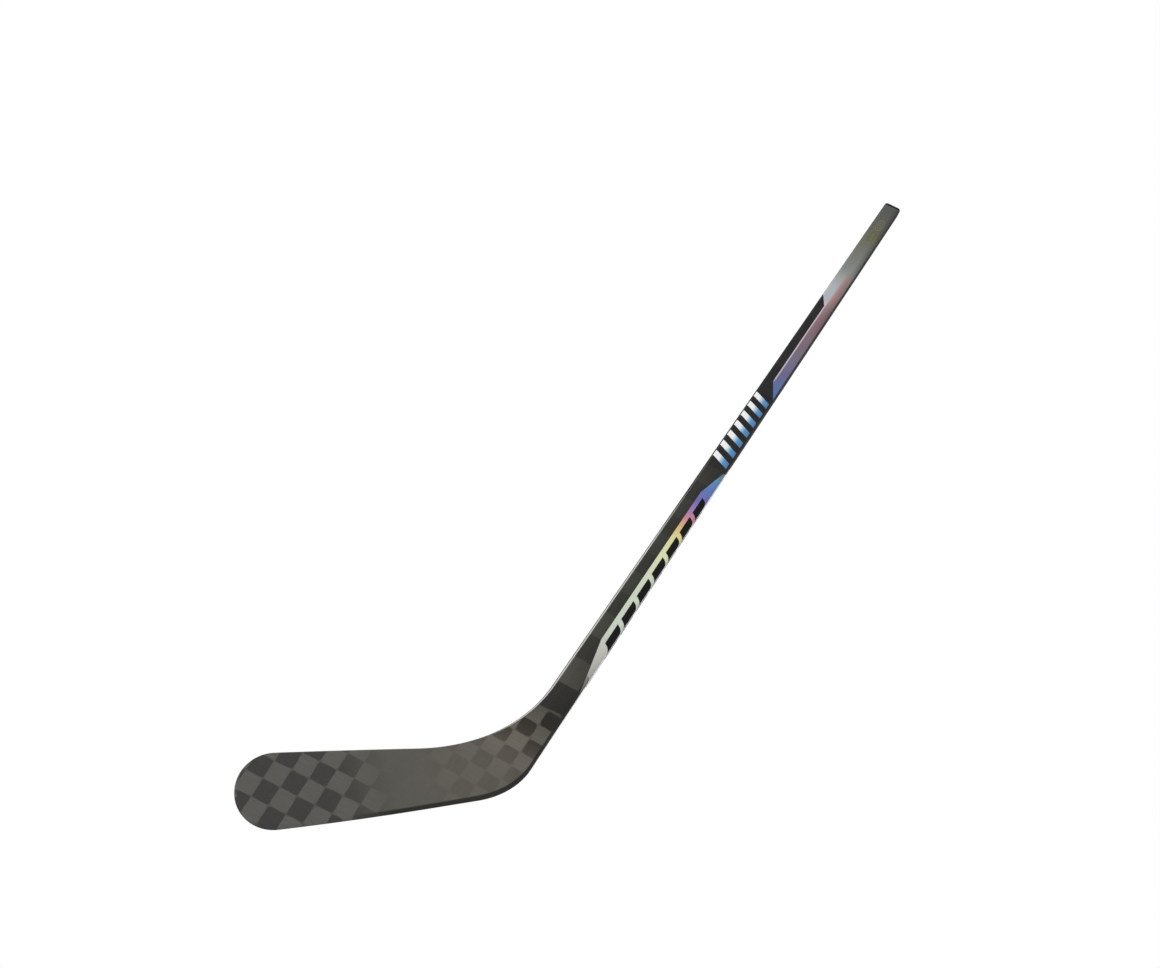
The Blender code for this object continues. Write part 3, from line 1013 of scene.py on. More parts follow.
@dataclass
class ShaftSkin:
    """Maps an unrolled sheet onto the shaft: distance up it, and girth measured from the back edge."""

    sizes: StickSizes = SIZES
    corner_steps: int = 8
    step: float = 24.0
    film: float = 0.14

    @property
    def quarter(self) -> float:
        """Length of one rounded corner."""
        return self.sizes.corner * math.pi / 2

    def section(self, girth: float, lift: float = 0.0) -> Point:
        """Height across the shaft and sideways place at a girth, on the backhand side.

        Args:
            girth: equal to the height across the shaft on the flat face; lower values go round the back
                edge and higher ones round the front edge.
            lift: distance outside the surface.

        Returns:
            (height across, sideways place), in millimetres.
        """
        z = self.sizes
        half, corner = z.thick / 2, z.corner
        if corner <= girth <= z.width - corner:
            return girth, -half - lift
        low = girth < corner
        run = corner - girth if low else girth - (z.width - corner)
        turn = min(run / corner, math.pi / 2)
        past = max(0.0, run - self.quarter)
        reach = (corner + lift) * math.sin(turn)
        height = corner - reach if low else z.width - corner + reach
        return height, -half + corner - (corner + lift) * math.cos(turn) + past

    def world(self, along: float, girth: float, lift: float, side: float) -> Vector:
        """Point in metres on the shaft.

        Args:
            along: distance up the shaft.
            girth: place round the section, as section has it.
            lift: distance outside the surface.
            side: 1 for the backhand, -1 for the forehand.

        Returns:
            The point.
        """
        height, depth = self.section(girth, lift)
        z = self.sizes
        return z.world(z.along * along + z.across * height, depth * side)

    def creases(self) -> list[float]:
        """Girths where a sheet has to fold to follow the corners.

        Returns:
            The girths, round both corners.
        """
        steps = [self.quarter * k / self.corner_steps for k in range(self.corner_steps + 1)]
        low = [self.sizes.corner - step for step in steps]
        high = [self.sizes.width - self.sizes.corner + step for step in steps]
        return low + high

    def sheet(self, name: str, outlines: Sequence[Sequence[Point]], side: float, lift: float
              ) -> bpy.types.Object:
        """Thin film on the shaft.

        Args:
            name: the piece's name.
            outlines: closed outlines of (distance, girth) points in millimetres.
            side: 1 for the backhand, -1 for the forehand.
            lift: how far the film's outer face stands off the shaft.

        Returns:
            The film as a plain closed mesh.
        """
        bm = bmesh.new()
        for outline in outlines:
            face = bm.faces.new([bm.verts.new((s, t, 0.0)) for s, t in outline])
            face.normal_update()
            if face.normal.z < 0:
                face.normal_flip()
        bmesh.ops.triangulate(bm, faces=bm.faces)
        reach = [v.co.x for v in bm.verts]
        cuts = [((0.0, t, 0.0), (0.0, 1.0, 0.0)) for t in self.creases()]
        for k in range(int(min(reach) // self.step) + 1, int(max(reach) // self.step) + 1):
            cuts.append(((k * self.step, 0.0, 0.0), (1.0, 0.0, 0.0)))
        for point, normal in cuts:
            geometry = list(bm.verts) + list(bm.edges) + list(bm.faces)
            bmesh.ops.bisect_plane(bm, geom=geometry, plane_co=point, plane_no=normal, dist=0.0001)
        for vert in bm.verts:
            vert.co = self.world(vert.co.x, vert.co.y, lift, side)
        if side < 0:
            bmesh.ops.reverse_faces(bm, faces=bm.faces)
        carrier = from_bmesh(name + "_sheet", bm)
        solid = carrier.modifiers.new("film", "SOLIDIFY")
        solid.thickness = self.film * MM
        solid.offset = -1.0
        piece = plain_mesh(carrier, name)
        shade(piece, 40.0)
        return piece


@dataclass
class Shaft:
    """Outer ply of the shaft from the neck to the plug."""

    sizes: StickSizes = SIZES
    skin: ShaftSkin = field(default_factory=ShaftSkin)
    wall: float = 0.7
    gap: float = 0.3
    step: float = 12.0
    flat_steps: int = 6

    def girths(self) -> list[float]:
        """Stations round half of the section, from the back edge's middle to the front edge's middle.

        Returns:
            The girths in order.
        """
        z = self.sizes
        wide = z.width - 2 * z.corner
        flat = [z.corner + wide * k / self.flat_steps for k in range(1, self.flat_steps)]
        sides = [z.corner - self.skin.quarter - z.thick / 2 + z.corner,
                 z.width - z.corner + self.skin.quarter + z.thick / 2 - z.corner]
        return sorted(self.skin.creases() + flat + sides)

    def build(self, material: bpy.types.Material) -> bpy.types.Object:
        """Build the shell with its bore, dress it and tie it to the frame.

        Args:
            material: the laminate's finish.

        Returns:
            The finished piece.
        """
        z = self.sizes
        start, end = z.joint_at, z.length - z.flange - self.gap
        count = int((end - start) / self.step)
        places = [start + (end - start) * k / count for k in range(count + 1)]
        bm = bmesh.new()
        low_edge = bm.verts.layers.float.new("low_edge")
        high_edge = bm.verts.layers.float.new("high_edge")
        backhand = self.girths()
        round_all = [(1.0, girth) for girth in backhand] + [(-1.0, girth) for girth in backhand[-2:0:-1]]

        def row(along: float, lift: float) -> list[bmesh.types.BMVert]:
            """One ring of points at a distance up the shaft, lifted off its surface.

            Args:
                along: the distance up the shaft.
                lift: distance outside the surface.

            Returns:
                The ring's points.
            """
            verts = []
            for side, girth in round_all:
                height, depth = self.skin.section(girth, lift)
                vert = bm.verts.new(z.world(z.along * along + z.across * height, depth * side))
                vert[low_edge], vert[high_edge] = height * MM, (z.width - height) * MM
                verts.append(vert)
            return verts

        outside = [row(along, 0.0) for along in places]
        bore = [row(along, -self.wall) for along in (places[-1], places[0])]
        loft(bm, outside + bore, endless=True)
        bmesh.ops.remove_doubles(bm, verts=bm.verts, dist=0.000001)
        bmesh.ops.recalc_face_normals(bm, faces=bm.faces)
        piece = from_bmesh("shaft_shell", bm)
        shade(piece, 40.0)
        dress(piece, material)
        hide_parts("shaft_sleeve")
        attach(piece, "stick")
        return piece


# Graphics ----------------------------------------------------------------------------------------
class RepeatTree(Graph):
    """A Geometry Nodes tree that repeats a shape along a line, with named inputs for its sizes."""

    def __init__(self, name: str, sizes: dict[str, int | float], material: bpy.types.Material) -> None:
        """Start a tree.

        Args:
            name: the tree's name.
            sizes: the inputs and their values, a whole number being a count; Count and Pitch are among them.
            material: the material that the tree sets.
        """
        super().__init__(bpy.data.node_groups.new(name, "GeometryNodeTree"))
        self.values = {**sizes, "Material": material}
        kinds = {int: "NodeSocketInt", float: "NodeSocketFloat"}
        for key, value in self.values.items():
            kind = kinds.get(type(value), "NodeSocketMaterial")
            self.tree.interface.new_socket(name=key, in_out="INPUT", socket_type=kind)
        self.tree.interface.new_socket(name="Geometry", in_out="OUTPUT", socket_type="NodeSocketGeometry")
        outputs = self.tree.nodes.new("NodeGroupInput").outputs
        self.given = {key: Field(self, outputs[key]) for key in self.values}

    def repeat(self, shape: Field, axis: str) -> Field:
        """Count copies of a shape, Pitch apart along an axis, as real geometry.

        Args:
            shape: the geometry to repeat.
            axis: X, Y or Z.

        Returns:
            The copies.
        """
        step = self.node("ShaderNodeCombineXYZ", values={axis: self.given["Pitch"]})
        line = self.node("GeometryNodeMeshLine", values={"Count": self.given["Count"], "Offset": step})
        spread = self.node("GeometryNodeInstanceOnPoints", values={"Points": line, "Instance": shape})
        return self.node("GeometryNodeRealizeInstances", values=[spread])

    def make(self, shape: Field, name: str) -> bpy.types.Object:
        """Finish the tree with its material, run it once and remove it.

        Args:
            shape: the geometry that the tree gives.
            name: the new object's name.

        Returns:
            What the tree makes, as a plain mesh object.
        """
        painted = self.node("GeometryNodeSetMaterial", values={"Geometry": shape,
                                                               "Material": self.given["Material"]})
        self.put(self.tree.nodes.new("NodeGroupOutput").inputs["Geometry"], painted)
        carrier = new_object(name + "_carrier", bpy.data.meshes.new(name + "_carrier"))
        modifier = carrier.modifiers.new(name, "NODES")
        modifier.node_group = self.tree
        for item in self.tree.interface.items_tree:
            if item.in_out == "INPUT":
                modifier[item.identifier] = self.values[item.name]
        piece = plain_mesh(carrier, name)
        bpy.data.node_groups.remove(self.tree)
        return piece


@dataclass(frozen=True)
class BarRow:
    """A row of equal slanted bars; lean is how far the top of a bar is ahead of its foot."""

    count: int
    pitch: float
    width: float
    height: float
    lean: float

    def outlines(self, start: float, foot: float, material: bpy.types.Material) -> list[list[Point]]:
        """Make the bars with Geometry Nodes and return each bar's outline.

        Args:
            start: distance up the shaft of the first bar's middle.
            foot: girth of the bars' lower ends.
            material: the material the tree sets.

        Returns:
            One outline of (distance, girth) points for each bar.
        """
        sizes = {"Count": self.count, "Pitch": self.pitch, "Width": self.width, "Height": self.height,
                 "Lean": self.lean}
        g = RepeatTree("bar_row", sizes, material)
        bar = g.node("GeometryNodeMeshGrid", values={"Vertices X": 2, "Vertices Y": 2,
                                                     "Size X": g.given["Width"], "Size Y": g.given["Height"]})
        row = g.repeat(bar, "X")
        height = g.node("ShaderNodeSeparateXYZ", values=[g.node("GeometryNodeInputPosition")], output="Y")
        push = g.node("ShaderNodeCombineXYZ", values=[height / g.given["Height"] * g.given["Lean"]])
        slanted = g.node("GeometryNodeSetPosition", values={"Geometry": row, "Offset": push})
        made = g.make(slanted, "bar_row_flat")
        rise = foot + self.height / 2
        found = []
        for face in made.data.polygons:
            corners = [made.data.vertices[i].co for i in face.vertices]
            found.append([(start + c.x, rise + c.y) for c in corners])
        bpy.data.objects.remove(made, do_unlink=True)
        return found


class Side(Enum):
    """Which wide face of the shaft a film lies on."""

    BACKHAND = 1.0
    FOREHAND = -1.0


@dataclass(frozen=True)
class Patch:
    """A film's centre and half size, as (distance up the shaft, girth) in millimetres."""

    centre: Point
    half: Point

    def box(self) -> list[Point]:
        """The rectangle's corners."""
        turns = ((-1, -1), (1, -1), (1, 1), (-1, 1))
        return [(self.centre[0] + a * self.half[0], self.centre[1] + b * self.half[1]) for a, b in turns]

    def oval(self, steps: int = 40) -> list[Point]:
        """Points round the oval that fits in the rectangle.

        Args:
            steps: how many points.

        Returns:
            The outline.
        """
        turns = [2 * math.pi * k / steps for k in range(steps)]
        return [(self.centre[0] + self.half[0] * math.cos(turn),
                 self.centre[1] + self.half[1] * math.sin(turn)) for turn in turns]


@dataclass
class Graphics:
    """Foil bands, plain bars, label and badge on both wide faces of the shaft."""

    skin: ShaftSkin = field(default_factory=ShaftSkin)
    back_wrap: float = -3.5
    front_wrap: float = 36.0
    upper_low: float = 1.6
    lower_span: Span = (SIZES.joint_at + 1.0, 600.0)
    upper_span: Span = (797.0, 1515.0)
    label_patch: Patch = Patch((1376.0, 15.5), (20.0, 6.5))
    label_border: Point = (18.6, 5.1)
    label_panel: Point = (15.2, 2.4)
    label_soft: float = 0.2
    badge_patch: Patch = Patch((1428.0, 15.0), (24.0, 7.0))
    badge_rings: float = 16.0
    high_lift: float = 0.2
    mark_lift: float = 0.16
    low_lift: float = 0.12

    def add(self, name: str, outlines: Sequence[Sequence[Point]], material: bpy.types.Material, side: Side,
            slot: str, node: str | None, lift: float) -> bpy.types.Object:
        """Make one film, dress it and tie it to the frame.

        Args:
            name: the piece's name.
            outlines: its closed outlines.
            material: its finish.
            side: the face of the shaft that it lies on.
            slot: not used.
            node: the piece of the frame that the film on the backhand stands for, or None.
            lift: how far its outer face stands off the shaft.

        Returns:
            The film.
        """
        piece = self.skin.sheet(name, outlines, side.value, lift)
        dress(piece, material)
        if node and side is Side.BACKHAND:
            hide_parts(node)
        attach(piece, "stick")
        LOG.info("%s: %d faces", name, len(piece.data.polygons))
        return piece

    def lower_foil(self) -> bpy.types.Material:
        """Silver, mint, yellow, orange, pink, violet and blue along the lower shaft.

        Returns:
            The finish.
        """
        stops = ((0.0, (150, 149, 145)), (0.06, (176, 174, 168)), (0.14, (198, 197, 188)),
                 (0.22, (204, 214, 200)), (0.45, (212, 220, 196)), (0.56, (222, 228, 180)),
                 (0.64, (224, 216, 150)), (0.69, (224, 180, 122)), (0.735, (206, 134, 150)),
                 (0.78, (160, 124, 186)), (0.83, (116, 106, 184)), (0.89, (92, 124, 188)),
                 (0.94, (92, 146, 188)), (1.0, (108, 120, 128)))
        return FoilFinish("lower_foil_film", 150.0, self.lower_span[1], stops, 0.32).build()

    def upper_foil(self) -> bpy.types.Material:
        """Blue, violet, mauve, rose and silver along the upper shaft, fading to olive grey.

        Returns:
            The finish.
        """
        stops = ((0.0, (82, 114, 180)), (0.05, (88, 112, 170)), (0.1, (106, 104, 144)),
                 (0.16, (120, 110, 136)), (0.22, (122, 106, 120)), (0.3, (134, 110, 117)),
                 (0.37, (146, 112, 119)), (0.42, (152, 126, 126)), (0.47, (160, 148, 148)),
                 (0.56, (150, 154, 150)), (0.66, (126, 132, 125)), (0.76, (114, 116, 104)),
                 (0.86, (104, 102, 90)), (0.95, (95, 95, 90)), (1.0, (90, 90, 88)))
        return FoilFinish("upper_foil_film", 790.0, self.upper_span[1], stops, 0.34).build(self.streaks)

    def streaks(self, g: StickFinish, colour: Field) -> Field:
        """The upper foil's own streaks.

        Args:
            g: the material under construction.
            colour: the foil's colour.

        Returns:
            The colour with a pale line at the wedge's edge, a silver and a rose streak where the wedge
            widens, and a darker back edge.
        """
        along, across = g.along, g.across
        line = across.rise(14.2, 15.0) * along.rise(1128.0, 1100.0) * along.rise(832.0, 850.0)
        colour = g.mix(line * 0.8, colour, srgb(212, 196, 206))
        silver = along.rise(1095.0, 1120.0) * along.rise(1238.0, 1140.0) * across.rise(11.0, 17.0)
        colour = g.mix(silver * 0.85, colour, srgb(182, 188, 194))
        streak = across.rise(3.5, 6.5) * across.rise(15.0, 10.0)
        rose = along.rise(1096.0, 1116.0) * along.rise(1232.0, 1190.0) * streak
        colour = g.mix(rose * 0.55, colour, srgb(186, 112, 112))
        low = across.rise(12.0, 3.0) * along.rise(950.0, 1080.0)
        return g.scale_colour(colour, 1.0 - low * 0.34)

    def bars(self) -> bpy.types.Material:
        """White at the top of a bar and blue at its foot.

        Returns:
            The finish.
        """
        g = StickFinish("mark_film")
        drift = (g.grain(0.05, 0.05, 2.0, side=1.0) - 0.5) * 3.0
        share = (g.across + drift) / SIZES.width
        colour = g.ramp(share, shades(((0.1, (70, 120, 170)), (0.36, (84, 146, 196)),
                                       (0.52, (176, 206, 222)), (0.62, (236, 238, 238)))))
        return g.finish(Base_Color=colour, Roughness=0.35 + share * 0.05, Coat_Weight=0.4,
                        Coat_Roughness=0.1)

    def ink(self) -> bpy.types.Material:
        """Near-black printed ink."""
        return PlainFinish("printed_ink", srgb(26, 25, 24), 0.35, 1.5, 0.00002).build()

    def label(self) -> bpy.types.Material:
        """Olive label with a plain border and one plain panel.

        Returns:
            The finish.
        """
        g = StickFinish("label_film")
        blotch = g.grain(0.1, 0.1, 3.0, side=1.0)
        colour = g.ramp(blotch, shades(((0.3, (94, 95, 62)), (0.7, (106, 106, 71)))))
        (at, level), soft = self.label_patch.centre, self.label_soft
        away = ((g.along - at).absolute(), (g.across - level).absolute())
        rim = [a.rise(half - soft, half + soft) for a, half in zip(away, self.label_border)]
        panel = [a.rise(half + soft, half - soft) for a, half in zip(away, self.label_panel)]
        share = rim[0].most(rim[1]).most(panel[0] * panel[1])
        colour = g.mix(share * 0.4, colour, srgb(128, 127, 98))
        return g.finish(Base_Color=colour, Roughness=0.42 + blotch * 0.1)

    def badge(self) -> bpy.types.Material:
        """Olive oval with plain nested rings.

        Returns:
            The finish.
        """
        g = StickFinish("badge_film")
        (at, level), (length, height) = self.badge_patch.centre, self.badge_patch.half
        far = g.node("ShaderNodeVectorMath", {"operation": "LENGTH"},
                     {"Vector": g.vector((g.along - at) / length, (g.across - level) / height)},
                     output="Value")
        rings = (far * self.badge_rings).sin().rise(-0.2, 0.2)
        colour = g.mix(rings, srgb(92, 91, 74), srgb(116, 114, 94))
        return g.finish(Base_Color=colour, Roughness=0.4 + rings * 0.1, Coat_Weight=0.4, Coat_Roughness=0.1)

    def lower_band(self) -> list[Point]:
        """Outline of the lower foil: round the back edge, with a long straight top and a slanted end.

        Returns:
            Its (distance, girth) points.
        """
        start, end = self.lower_span
        return [(start, self.back_wrap), (end, self.back_wrap), (594.0, 2.0), (537.0, 13.4),
                (229.0, 13.4), (205.0, 9.6), (start, 4.1)]

    def upper_wedge(self) -> list[Point]:
        """Outline of the upper foil: half the face, then the whole face and round the front edge.

        Returns:
            Its (distance, girth) points.
        """
        start, end = self.upper_span
        return [(start, self.upper_low), (end, self.upper_low), (end, self.front_wrap),
                (1152.0, self.front_wrap), (1126.0, 29.0), (1093.0, 16.6), (838.0, 16.6), (801.0, 3.6)]

    def build(self) -> None:
        """Make every film on both faces."""
        lower, upper, bars, ink = self.lower_foil(), self.upper_foil(), self.bars(), self.ink()
        label, badge = self.label(), self.badge()
        dash_row = BarRow(count=7, pitch=44.6, width=35.0, height=12.0, lean=9.0)
        bar_row = BarRow(count=7, pitch=27.4, width=13.0, height=25.0, lean=15.0)
        dashes = dash_row.outlines(239.0, self.back_wrap - 1.0, ink)
        strokes = bar_row.outlines(618.0, 3.0, bars)
        band, wedge = [self.lower_band()], [self.upper_wedge()]
        tag, oval = [self.label_patch.box()], [self.badge_patch.oval()]
        films = (("foil_lower", band, lower, "lower_foil_film", "lower_foil", self.low_lift),
                 ("foil_upper", wedge, upper, "upper_foil_film", "upper_foil", self.low_lift),
                 ("dash_row", dashes, ink, "shaft_fabric", None, self.high_lift),
                 ("bar_row", strokes, bars, "mark_film", "mark_panel", self.low_lift),
                 ("label", tag, label, "label_film", "spec_label", self.mark_lift),
                 ("badge", oval, badge, "badge_film", "oval_badge", self.mark_lift))
        for side in Side:
            for name, outlines, material, slot, node, lift in films:
                self.add(f"{name}_{side.name.lower()}", outlines, material, side, slot, node, lift)


# Butt plug and hidden pieces ---------------------------------------------------------------------
@dataclass(frozen=True)
class RoundBar:
    """Rounded rectangle, with its width across the shaft."""

    width: float
    thick: float
    corner: float

    def shrink(self, by: float) -> "RoundBar":
        """The outline that lies a distance inside this one."""
        return RoundBar(self.width - 2 * by, self.thick - 2 * by, max(0.1, self.corner - by))

    def ring(self, corner_steps: int = 8, flat_steps: int = 4) -> list[tuple[Vector, Vector]]:
        """Points round the outline.

        Args:
            corner_steps: steps round each corner.
            flat_steps: points between two corners.

        Returns:
            The points with their outward normals.
        """
        arm = Vector((self.width / 2 - self.corner, self.thick / 2 - self.corner))
        corners = []
        for quarter, (cx, cy) in enumerate(((1, 1), (-1, 1), (-1, -1), (1, -1))):
            for k in range(corner_steps + 1):
                turn = (quarter + k / corner_steps) * math.pi / 2
                normal = Vector((math.cos(turn), math.sin(turn)))
                corners.append((Vector((cx * arm.x, cy * arm.y)) + normal * self.corner, normal))
        found = []
        for i, (point, normal) in enumerate(corners):
            found.append((point, normal))
            after = corners[(i + 1) % len(corners)]
            if i % (corner_steps + 1) == corner_steps:
                for k in range(1, flat_steps + 1):
                    found.append((point.lerp(after[0], k / (flat_steps + 1)), normal))
        return found


@dataclass(frozen=True)
class Row:
    """One section of a turned skin: its outline, its place on the plug's axis and any unevenness."""

    bar: RoundBar
    height: float
    lift: Callable[[Vector, float], float] | None = None


@dataclass
class ButtPlug:
    """Plug in the end of the shaft: a cap, a hollow ribbed stem and the hot melt that holds it."""

    sizes: StickSizes = SIZES
    gap: float = 0.3
    sleeve_wall: float = 0.7
    tube_wall: float = 1.5
    glue_wall: float = 0.7
    stem_length: float = 60.0
    stem_wall: float = 2.2
    stem_bevel: float = 0.4
    cap_round: float = 1.4
    cap_round_steps: int = 6
    cap_rim: float = 3.0
    cap_dish: float = 0.35
    rib_height: float = 0.9
    rib_thick: float = 1.4
    rib_pitch: float = 2.9
    rib_count: int = 2
    rib_from: float = 2.2
    glue_from: float = 8.0
    glue_length: float = 44.0
    glue_steps: int = 30

    @property
    def outer(self) -> RoundBar:
        """Section of the shaft and the cap."""
        return RoundBar(self.sizes.width, self.sizes.thick, self.sizes.corner)

    @property
    def melt(self) -> RoundBar:
        """Section of the hot melt's outside, just clear of the bore."""
        return self.outer.shrink(self.sleeve_wall + self.gap + self.tube_wall + self.gap)

    @property
    def stem(self) -> RoundBar:
        """Section of the stem."""
        return self.melt.shrink(self.glue_wall + self.gap)

    def to_stick(self, piece: bpy.types.Object) -> None:
        """Move a mesh from the plug's own axes, in millimetres, to its place on the stick.

        Args:
            piece: the object whose mesh is moved.
        """
        z = self.sizes
        seat = z.along * (z.length - z.flange) + z.across * (z.width / 2)
        out = Vector((z.along.x, 0.0, z.along.y))
        wide = Vector((z.across.x, 0.0, z.across.y))
        turn = Matrix((wide, out.cross(wide), out)).transposed().to_4x4()
        piece.data.transform(Matrix.Translation(z.world(seat, 0.0)) @ turn @ Matrix.Scale(MM, 4))
        piece.data.update()

    def lathe(self, name: str, rows: Sequence[Row], angle: float, endless: bool = False) -> bpy.types.Object:
        """Closed skin through a run of sections.

        Args:
            name: the piece's name.
            rows: the sections, from one closed end to the other.
            angle: angle of the sharp edges in degrees.
            endless: join the last section to the first, for a sleeve.

        Returns:
            The piece, placed on the stick.
        """
        bm = bmesh.new()
        rings = []
        for row in rows:
            ring = []
            for point, normal in row.bar.ring():
                out = row.lift(point, row.height) if row.lift else 0.0
                ring.append(bm.verts.new((*(point + normal * out), row.height)))
            rings.append(ring)
        loft(bm, rings, endless)
        bmesh.ops.recalc_face_normals(bm, faces=bm.faces)
        piece = from_bmesh(name, bm)
        self.to_stick(piece)
        shade(piece, angle)
        return piece

    def cap_and_stem(self) -> bpy.types.Object:
        """Cap with a rounded, slightly dished face and a hollow stem below it.

        Returns:
            The piece.
        """
        face, cap, stem, bevel = self.sizes.flange, self.outer, self.stem, self.stem_bevel
        inner = stem.shrink(self.stem_wall)
        rows = [Row(inner, -1.0), Row(inner, -self.stem_length),
                Row(stem.shrink(bevel), -self.stem_length), Row(stem, bevel - self.stem_length),
                Row(stem, 0.0), Row(cap.shrink(0.5), 0.0), Row(cap.shrink(0.1), 0.15), Row(cap, 0.5)]
        for k in range(self.cap_round_steps + 1):
            turn = math.pi / 2 * k / self.cap_round_steps
            rows.append(Row(cap.shrink(self.cap_round * (1 - math.cos(turn))),
                            face - self.cap_round * (1 - math.sin(turn))))
        dish = face - self.cap_dish
        rows += [Row(cap.shrink(self.cap_rim), face), Row(cap.shrink(self.cap_rim + 0.6), dish),
                 Row(RoundBar(8.0, 2.0, 0.9), dish)]
        return self.lathe("plug_cap_and_stem", rows, 35.0)

    @staticmethod
    def lumps(point: Vector, height: float) -> float:
        """How far the set adhesive stands out at a place, in two sizes of lump."""
        at = Vector((point.x * 0.22, point.y * 0.22, height * 0.16))
        return -0.3 + 0.25 * noise.noise(at) - 0.12 * abs(noise.noise(at * 3.1))

    def hot_melt(self) -> bpy.types.Object:
        """Lumpy sleeve of set adhesive round the stem.

        Returns:
            The piece.
        """
        top, bottom = -self.glue_from, -self.glue_from - self.glue_length
        inner = self.melt.shrink(self.glue_wall)
        rows = [Row(inner, top), Row(inner, bottom)]
        for k in range(self.glue_steps + 1):
            rows.append(Row(self.melt, bottom + (top - bottom) * k / self.glue_steps, self.lumps))
        return self.lathe("plug_hot_melt", rows, 50.0, endless=True)

    def ribs(self, material: bpy.types.Material) -> bpy.types.Object:
        """Rings round the stem between the cap and the hot melt, made by Geometry Nodes.

        Args:
            material: the plug's finish.

        Returns:
            The rings, placed on the stick.
        """
        sizes = {"Width": self.stem.width, "Thick": self.stem.thick, "Corner": self.stem.corner,
                 "Height": 2 * self.rib_height, "Rib": self.rib_thick, "Pitch": -self.rib_pitch,
                 "Count": self.rib_count}
        g = RepeatTree("plug_ribs", sizes, material)
        box = g.node("GeometryNodeCurvePrimitiveQuadrilateral",
                     values={"Width": g.given["Width"], "Height": g.given["Thick"]})
        path = g.node("GeometryNodeFilletCurve", {"mode": "POLY"},
                      {"Curve": box, "Count": 5, "Radius": g.given["Corner"]})
        profile = g.node("GeometryNodeCurvePrimitiveQuadrilateral",
                         values={"Width": g.given["Height"], "Height": g.given["Rib"]})
        rib = g.node("GeometryNodeCurveToMesh", values={"Curve": path, "Profile Curve": profile})
        piece = g.make(g.repeat(rib, "Z"), "plug_ribs")
        piece.data.transform(Matrix.Translation((0.0, 0.0, -self.rib_from)))
        bm = bmesh.new()
        bm.from_mesh(piece.data)
        bmesh.ops.remove_doubles(bm, verts=bm.verts, dist=0.001)
        bmesh.ops.recalc_face_normals(bm, faces=bm.faces)
        bm.to_mesh(piece.data)
        bm.free()
        self.to_stick(piece)
        shade(piece, 30.0)
        return piece

    def build(self) -> None:
        """Make the plug's pieces, dress them and tie them to the frame."""
        plastic = PlainFinish("plug_plastic", srgb(24, 24, 24), 0.45, 2.2, 0.00004).build()
        melt = PlainFinish("plug_hot_melt", srgb(226, 216, 176), 0.3, 0.35, 0.0003).build()
        cap, glue, ribs = self.cap_and_stem(), self.hot_melt(), self.ribs(plastic)
        for piece, material, slot in ((cap, plastic, "plug_plastic"), (ribs, plastic, "plug_plastic"),
                                      (glue, melt, "plug_hot_melt")):
            dress(piece, material)
            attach(piece, "plug")
            LOG.info("%s: %d faces", piece.name, len(piece.data.polygons))
        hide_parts("end_plug")
        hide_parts("plug_glue")


@dataclass
class Dressing:
    """Finishes for the pieces that keep the shape they have in the frame."""

    def build(self) -> None:
        """Give each carried-over piece its material."""
        foam = PlainFinish("blade_foam", srgb(206, 196, 160), 0.9, 1.8, 0.0003).build()
        dam = PlainFinish("dam_foam", srgb(236, 234, 226), 0.9, 1.6, 0.0003).build()
        filler = PlainFinish("blade_filler", srgb(146, 142, 130), 0.75, 1.2, 0.0001).build()
        dull = PlainFinish("dull_laminate", srgb(42, 42, 42), 0.6, 1.4, 0.0001).build()
        epoxy = PlainFinish("bond_epoxy", srgb(190, 168, 110), 0.35, 0.5, 0.0001).build()
        finishes = ((foam, ("lower_core", "upper_core")), (dam, ("foam_dam",)),
                    (filler, ("toe_core", "heel_core")), (dull, ("bridge_rib", "shaft_tube", "blade_tenon")),
                    (epoxy, ("tenon_bond",)))
        for material, names in finishes:
            for name in names:
                self.coat(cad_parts[name], material)
                LOG.info("%s dressed", name)

    @staticmethod
    def coat(node: bpy.types.Object, material: bpy.types.Material) -> None:
        """Put a material in every slot of a node, or in a first one.

        Args:
            node: the frame's object.
            material: its finish.
        """
        if not node.material_slots:
            node.data.materials.append(material)
        for slot in node.material_slots:
            slot.material = material


# Studio ------------------------------------------------------------------------------------------
@dataclass(frozen=True)
class Lamp:
    """One soft light: its place, what it aims at, its size along the shaft and across, and its power."""

    name: str
    at: tuple[float, float, float]
    aim: tuple[float, float, float]
    size: tuple[float, float]
    power: float

    def build(self) -> None:
        """Add the light, its first size running with the shaft."""
        data = bpy.data.lights.new(self.name, "AREA")
        data.shape = "RECTANGLE"
        data.size, data.size_y = self.size
        data.energy = self.power
        lamp = bpy.data.objects.new(self.name, data)
        bpy.context.scene.collection.objects.link(lamp)
        lamp.visible_camera = False
        back = (Vector(self.at) - Vector(self.aim)).normalized()
        run = Vector((SIZES.along.x, 0.0, SIZES.along.y))
        run = (run - back * run.dot(back)).normalized()
        turn = Matrix((run, back.cross(run), back)).transposed().to_4x4()
        lamp.matrix_world = Matrix.Translation(self.at) @ turn


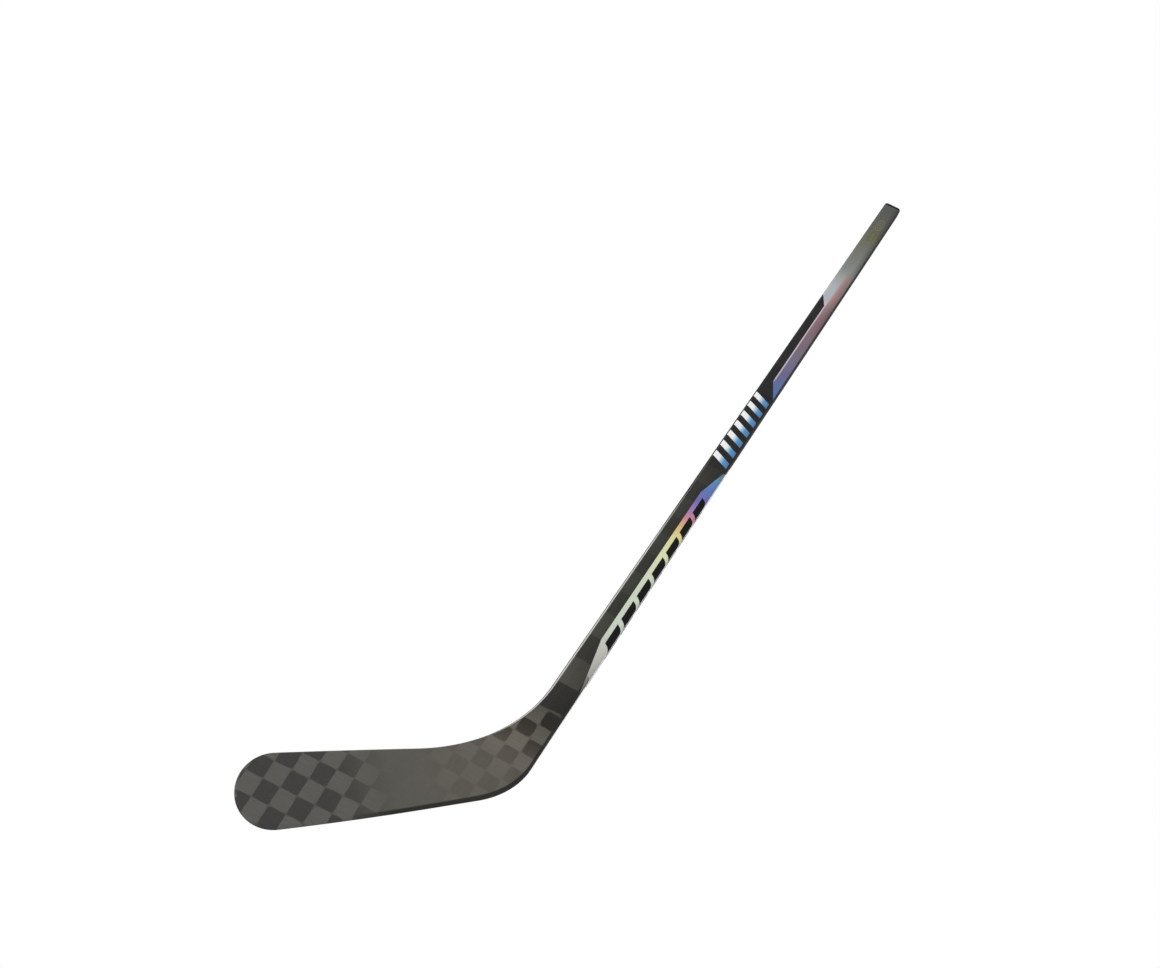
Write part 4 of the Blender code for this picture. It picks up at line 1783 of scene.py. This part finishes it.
@dataclass
class Studio:
    """Plain pale floor, soft light and the camera, in metres."""

    lens: float = 41.874
    sensor: float = 36.0
    camera_at: tuple[float, float, float] = (-0.41077, -1.09859, -0.66253)
    right: tuple[float, float, float] = (0.914, -0.25414, -0.31624)
    forward: tuple[float, float, float] = (0.4035, 0.65054, 0.64341)
    soft_level: float = 0.94
    glossy_level: float = 0.10
    floor_size: float = 14.0
    floor_gap: float = 0.0005
    floor_fade: Span = (1.6, 5.0)
    lamps: tuple[Lamp, ...] = (
        Lamp("overhead", (-1.8, 0.5, 3.2), (0.4, 0.0, 0.5), (2.2, 2.2), 16.0),
        Lamp("strip", (0.243, -0.332, 1.295), (0.796, 0.0, 0.742), (0.9, 0.5), 2.5),
        Lamp("front", (-2.6, -2.4, 1.6), (0.3, 0.0, 0.5), (2.2, 2.2), 8.0),
        Lamp("rear", (1.8, 3.0, 2.2), (0.4, 0.0, 0.5), (2.2, 2.2), 18.0))

    def floor(self) -> None:
        """Pale floor that is only there from above and fades out with distance."""
        bm = bmesh.new()
        bmesh.ops.create_grid(bm, x_segments=8, y_segments=8, size=self.floor_size)
        for vert in bm.verts:
            vert.co.z = CAD_BOX[0].z - self.floor_gap
        piece = from_bmesh("studio_floor", bm)
        g = Finish("studio_floor")
        g.finish(Base_Color=(0.8, 0.8, 0.8), Roughness=0.9)
        under = g.node("ShaderNodeNewGeometry", output="Backfacing")
        seen = g.node("ShaderNodeLightPath", output="Is Camera Ray")
        clear = g.node("ShaderNodeBsdfTransparent")
        x, y, _ = g.place()
        away = g.node("ShaderNodeVectorMath", {"operation": "LENGTH"},
                      {"Vector": g.vector(x * MM, y * MM)}, output="Value")
        hidden = under.most(1.0 - seen).most(away.rise(*self.floor_fade))
        blend = g.node("ShaderNodeMixShader", values=[hidden, Field(g, g.shader.outputs[0]), clear])
        g.tree.links.new(blend.socket, g.tree.nodes["Material Output"].inputs["Surface"])
        dress(piece, g.material)

    def world(self) -> None:
        """White backdrop that lights softly and shows dark in glossy surfaces."""
        world = bpy.data.worlds.new("studio")
        bpy.context.scene.world = world
        world.use_nodes = True
        g = Graph(world.node_tree)
        seen = g.node("ShaderNodeLightPath", output="Is Camera Ray")
        glossy = g.node("ShaderNodeLightPath", output="Is Glossy Ray")
        level = self.soft_level + seen * (1.0 - self.soft_level)
        level = level - glossy * (self.soft_level - self.glossy_level)
        back = world.node_tree.nodes["Background"]
        g.put(back.inputs["Color"], (1.0, 1.0, 1.0))
        g.put(back.inputs["Strength"], level)

    def camera(self) -> None:
        """Camera low beside the blade, looking up the shaft."""
        data = bpy.data.cameras.new("camera")
        data.lens = self.lens
        data.sensor_width = self.sensor
        data.clip_start = 0.05
        cam = bpy.data.objects.new("camera", data)
        bpy.context.scene.collection.objects.link(cam)
        forward = Vector(self.forward).normalized()
        right = Vector(self.right)
        right = (right - forward * right.dot(forward)).normalized()
        up = right.cross(forward)
        turn = Matrix((right, up, -forward)).transposed().to_4x4()
        cam.matrix_world = Matrix.Translation(self.camera_at) @ turn
        bpy.context.scene.camera = cam

    def build(self) -> None:
        """Set the whole studio up."""
        bpy.context.scene.view_settings.view_transform = "Standard"
        self.floor()
        self.world()
        for lamp in self.lamps:
            lamp.build()
        self.camera()


def main() -> None:
    """Build the stick piece by piece."""
    logging.basicConfig(level=logging.INFO, format="%(message)s")
    laminate = CarbonFinish().build()
    for piece in (Blade().build(laminate), Shaft().build(laminate)):
        LOG.info("%s: %d faces", piece.name, len(piece.data.polygons))
    Graphics().build()
    ButtPlug().build()
    Dressing().build()
    Studio().build()


if __name__ == "__main__":
    main()
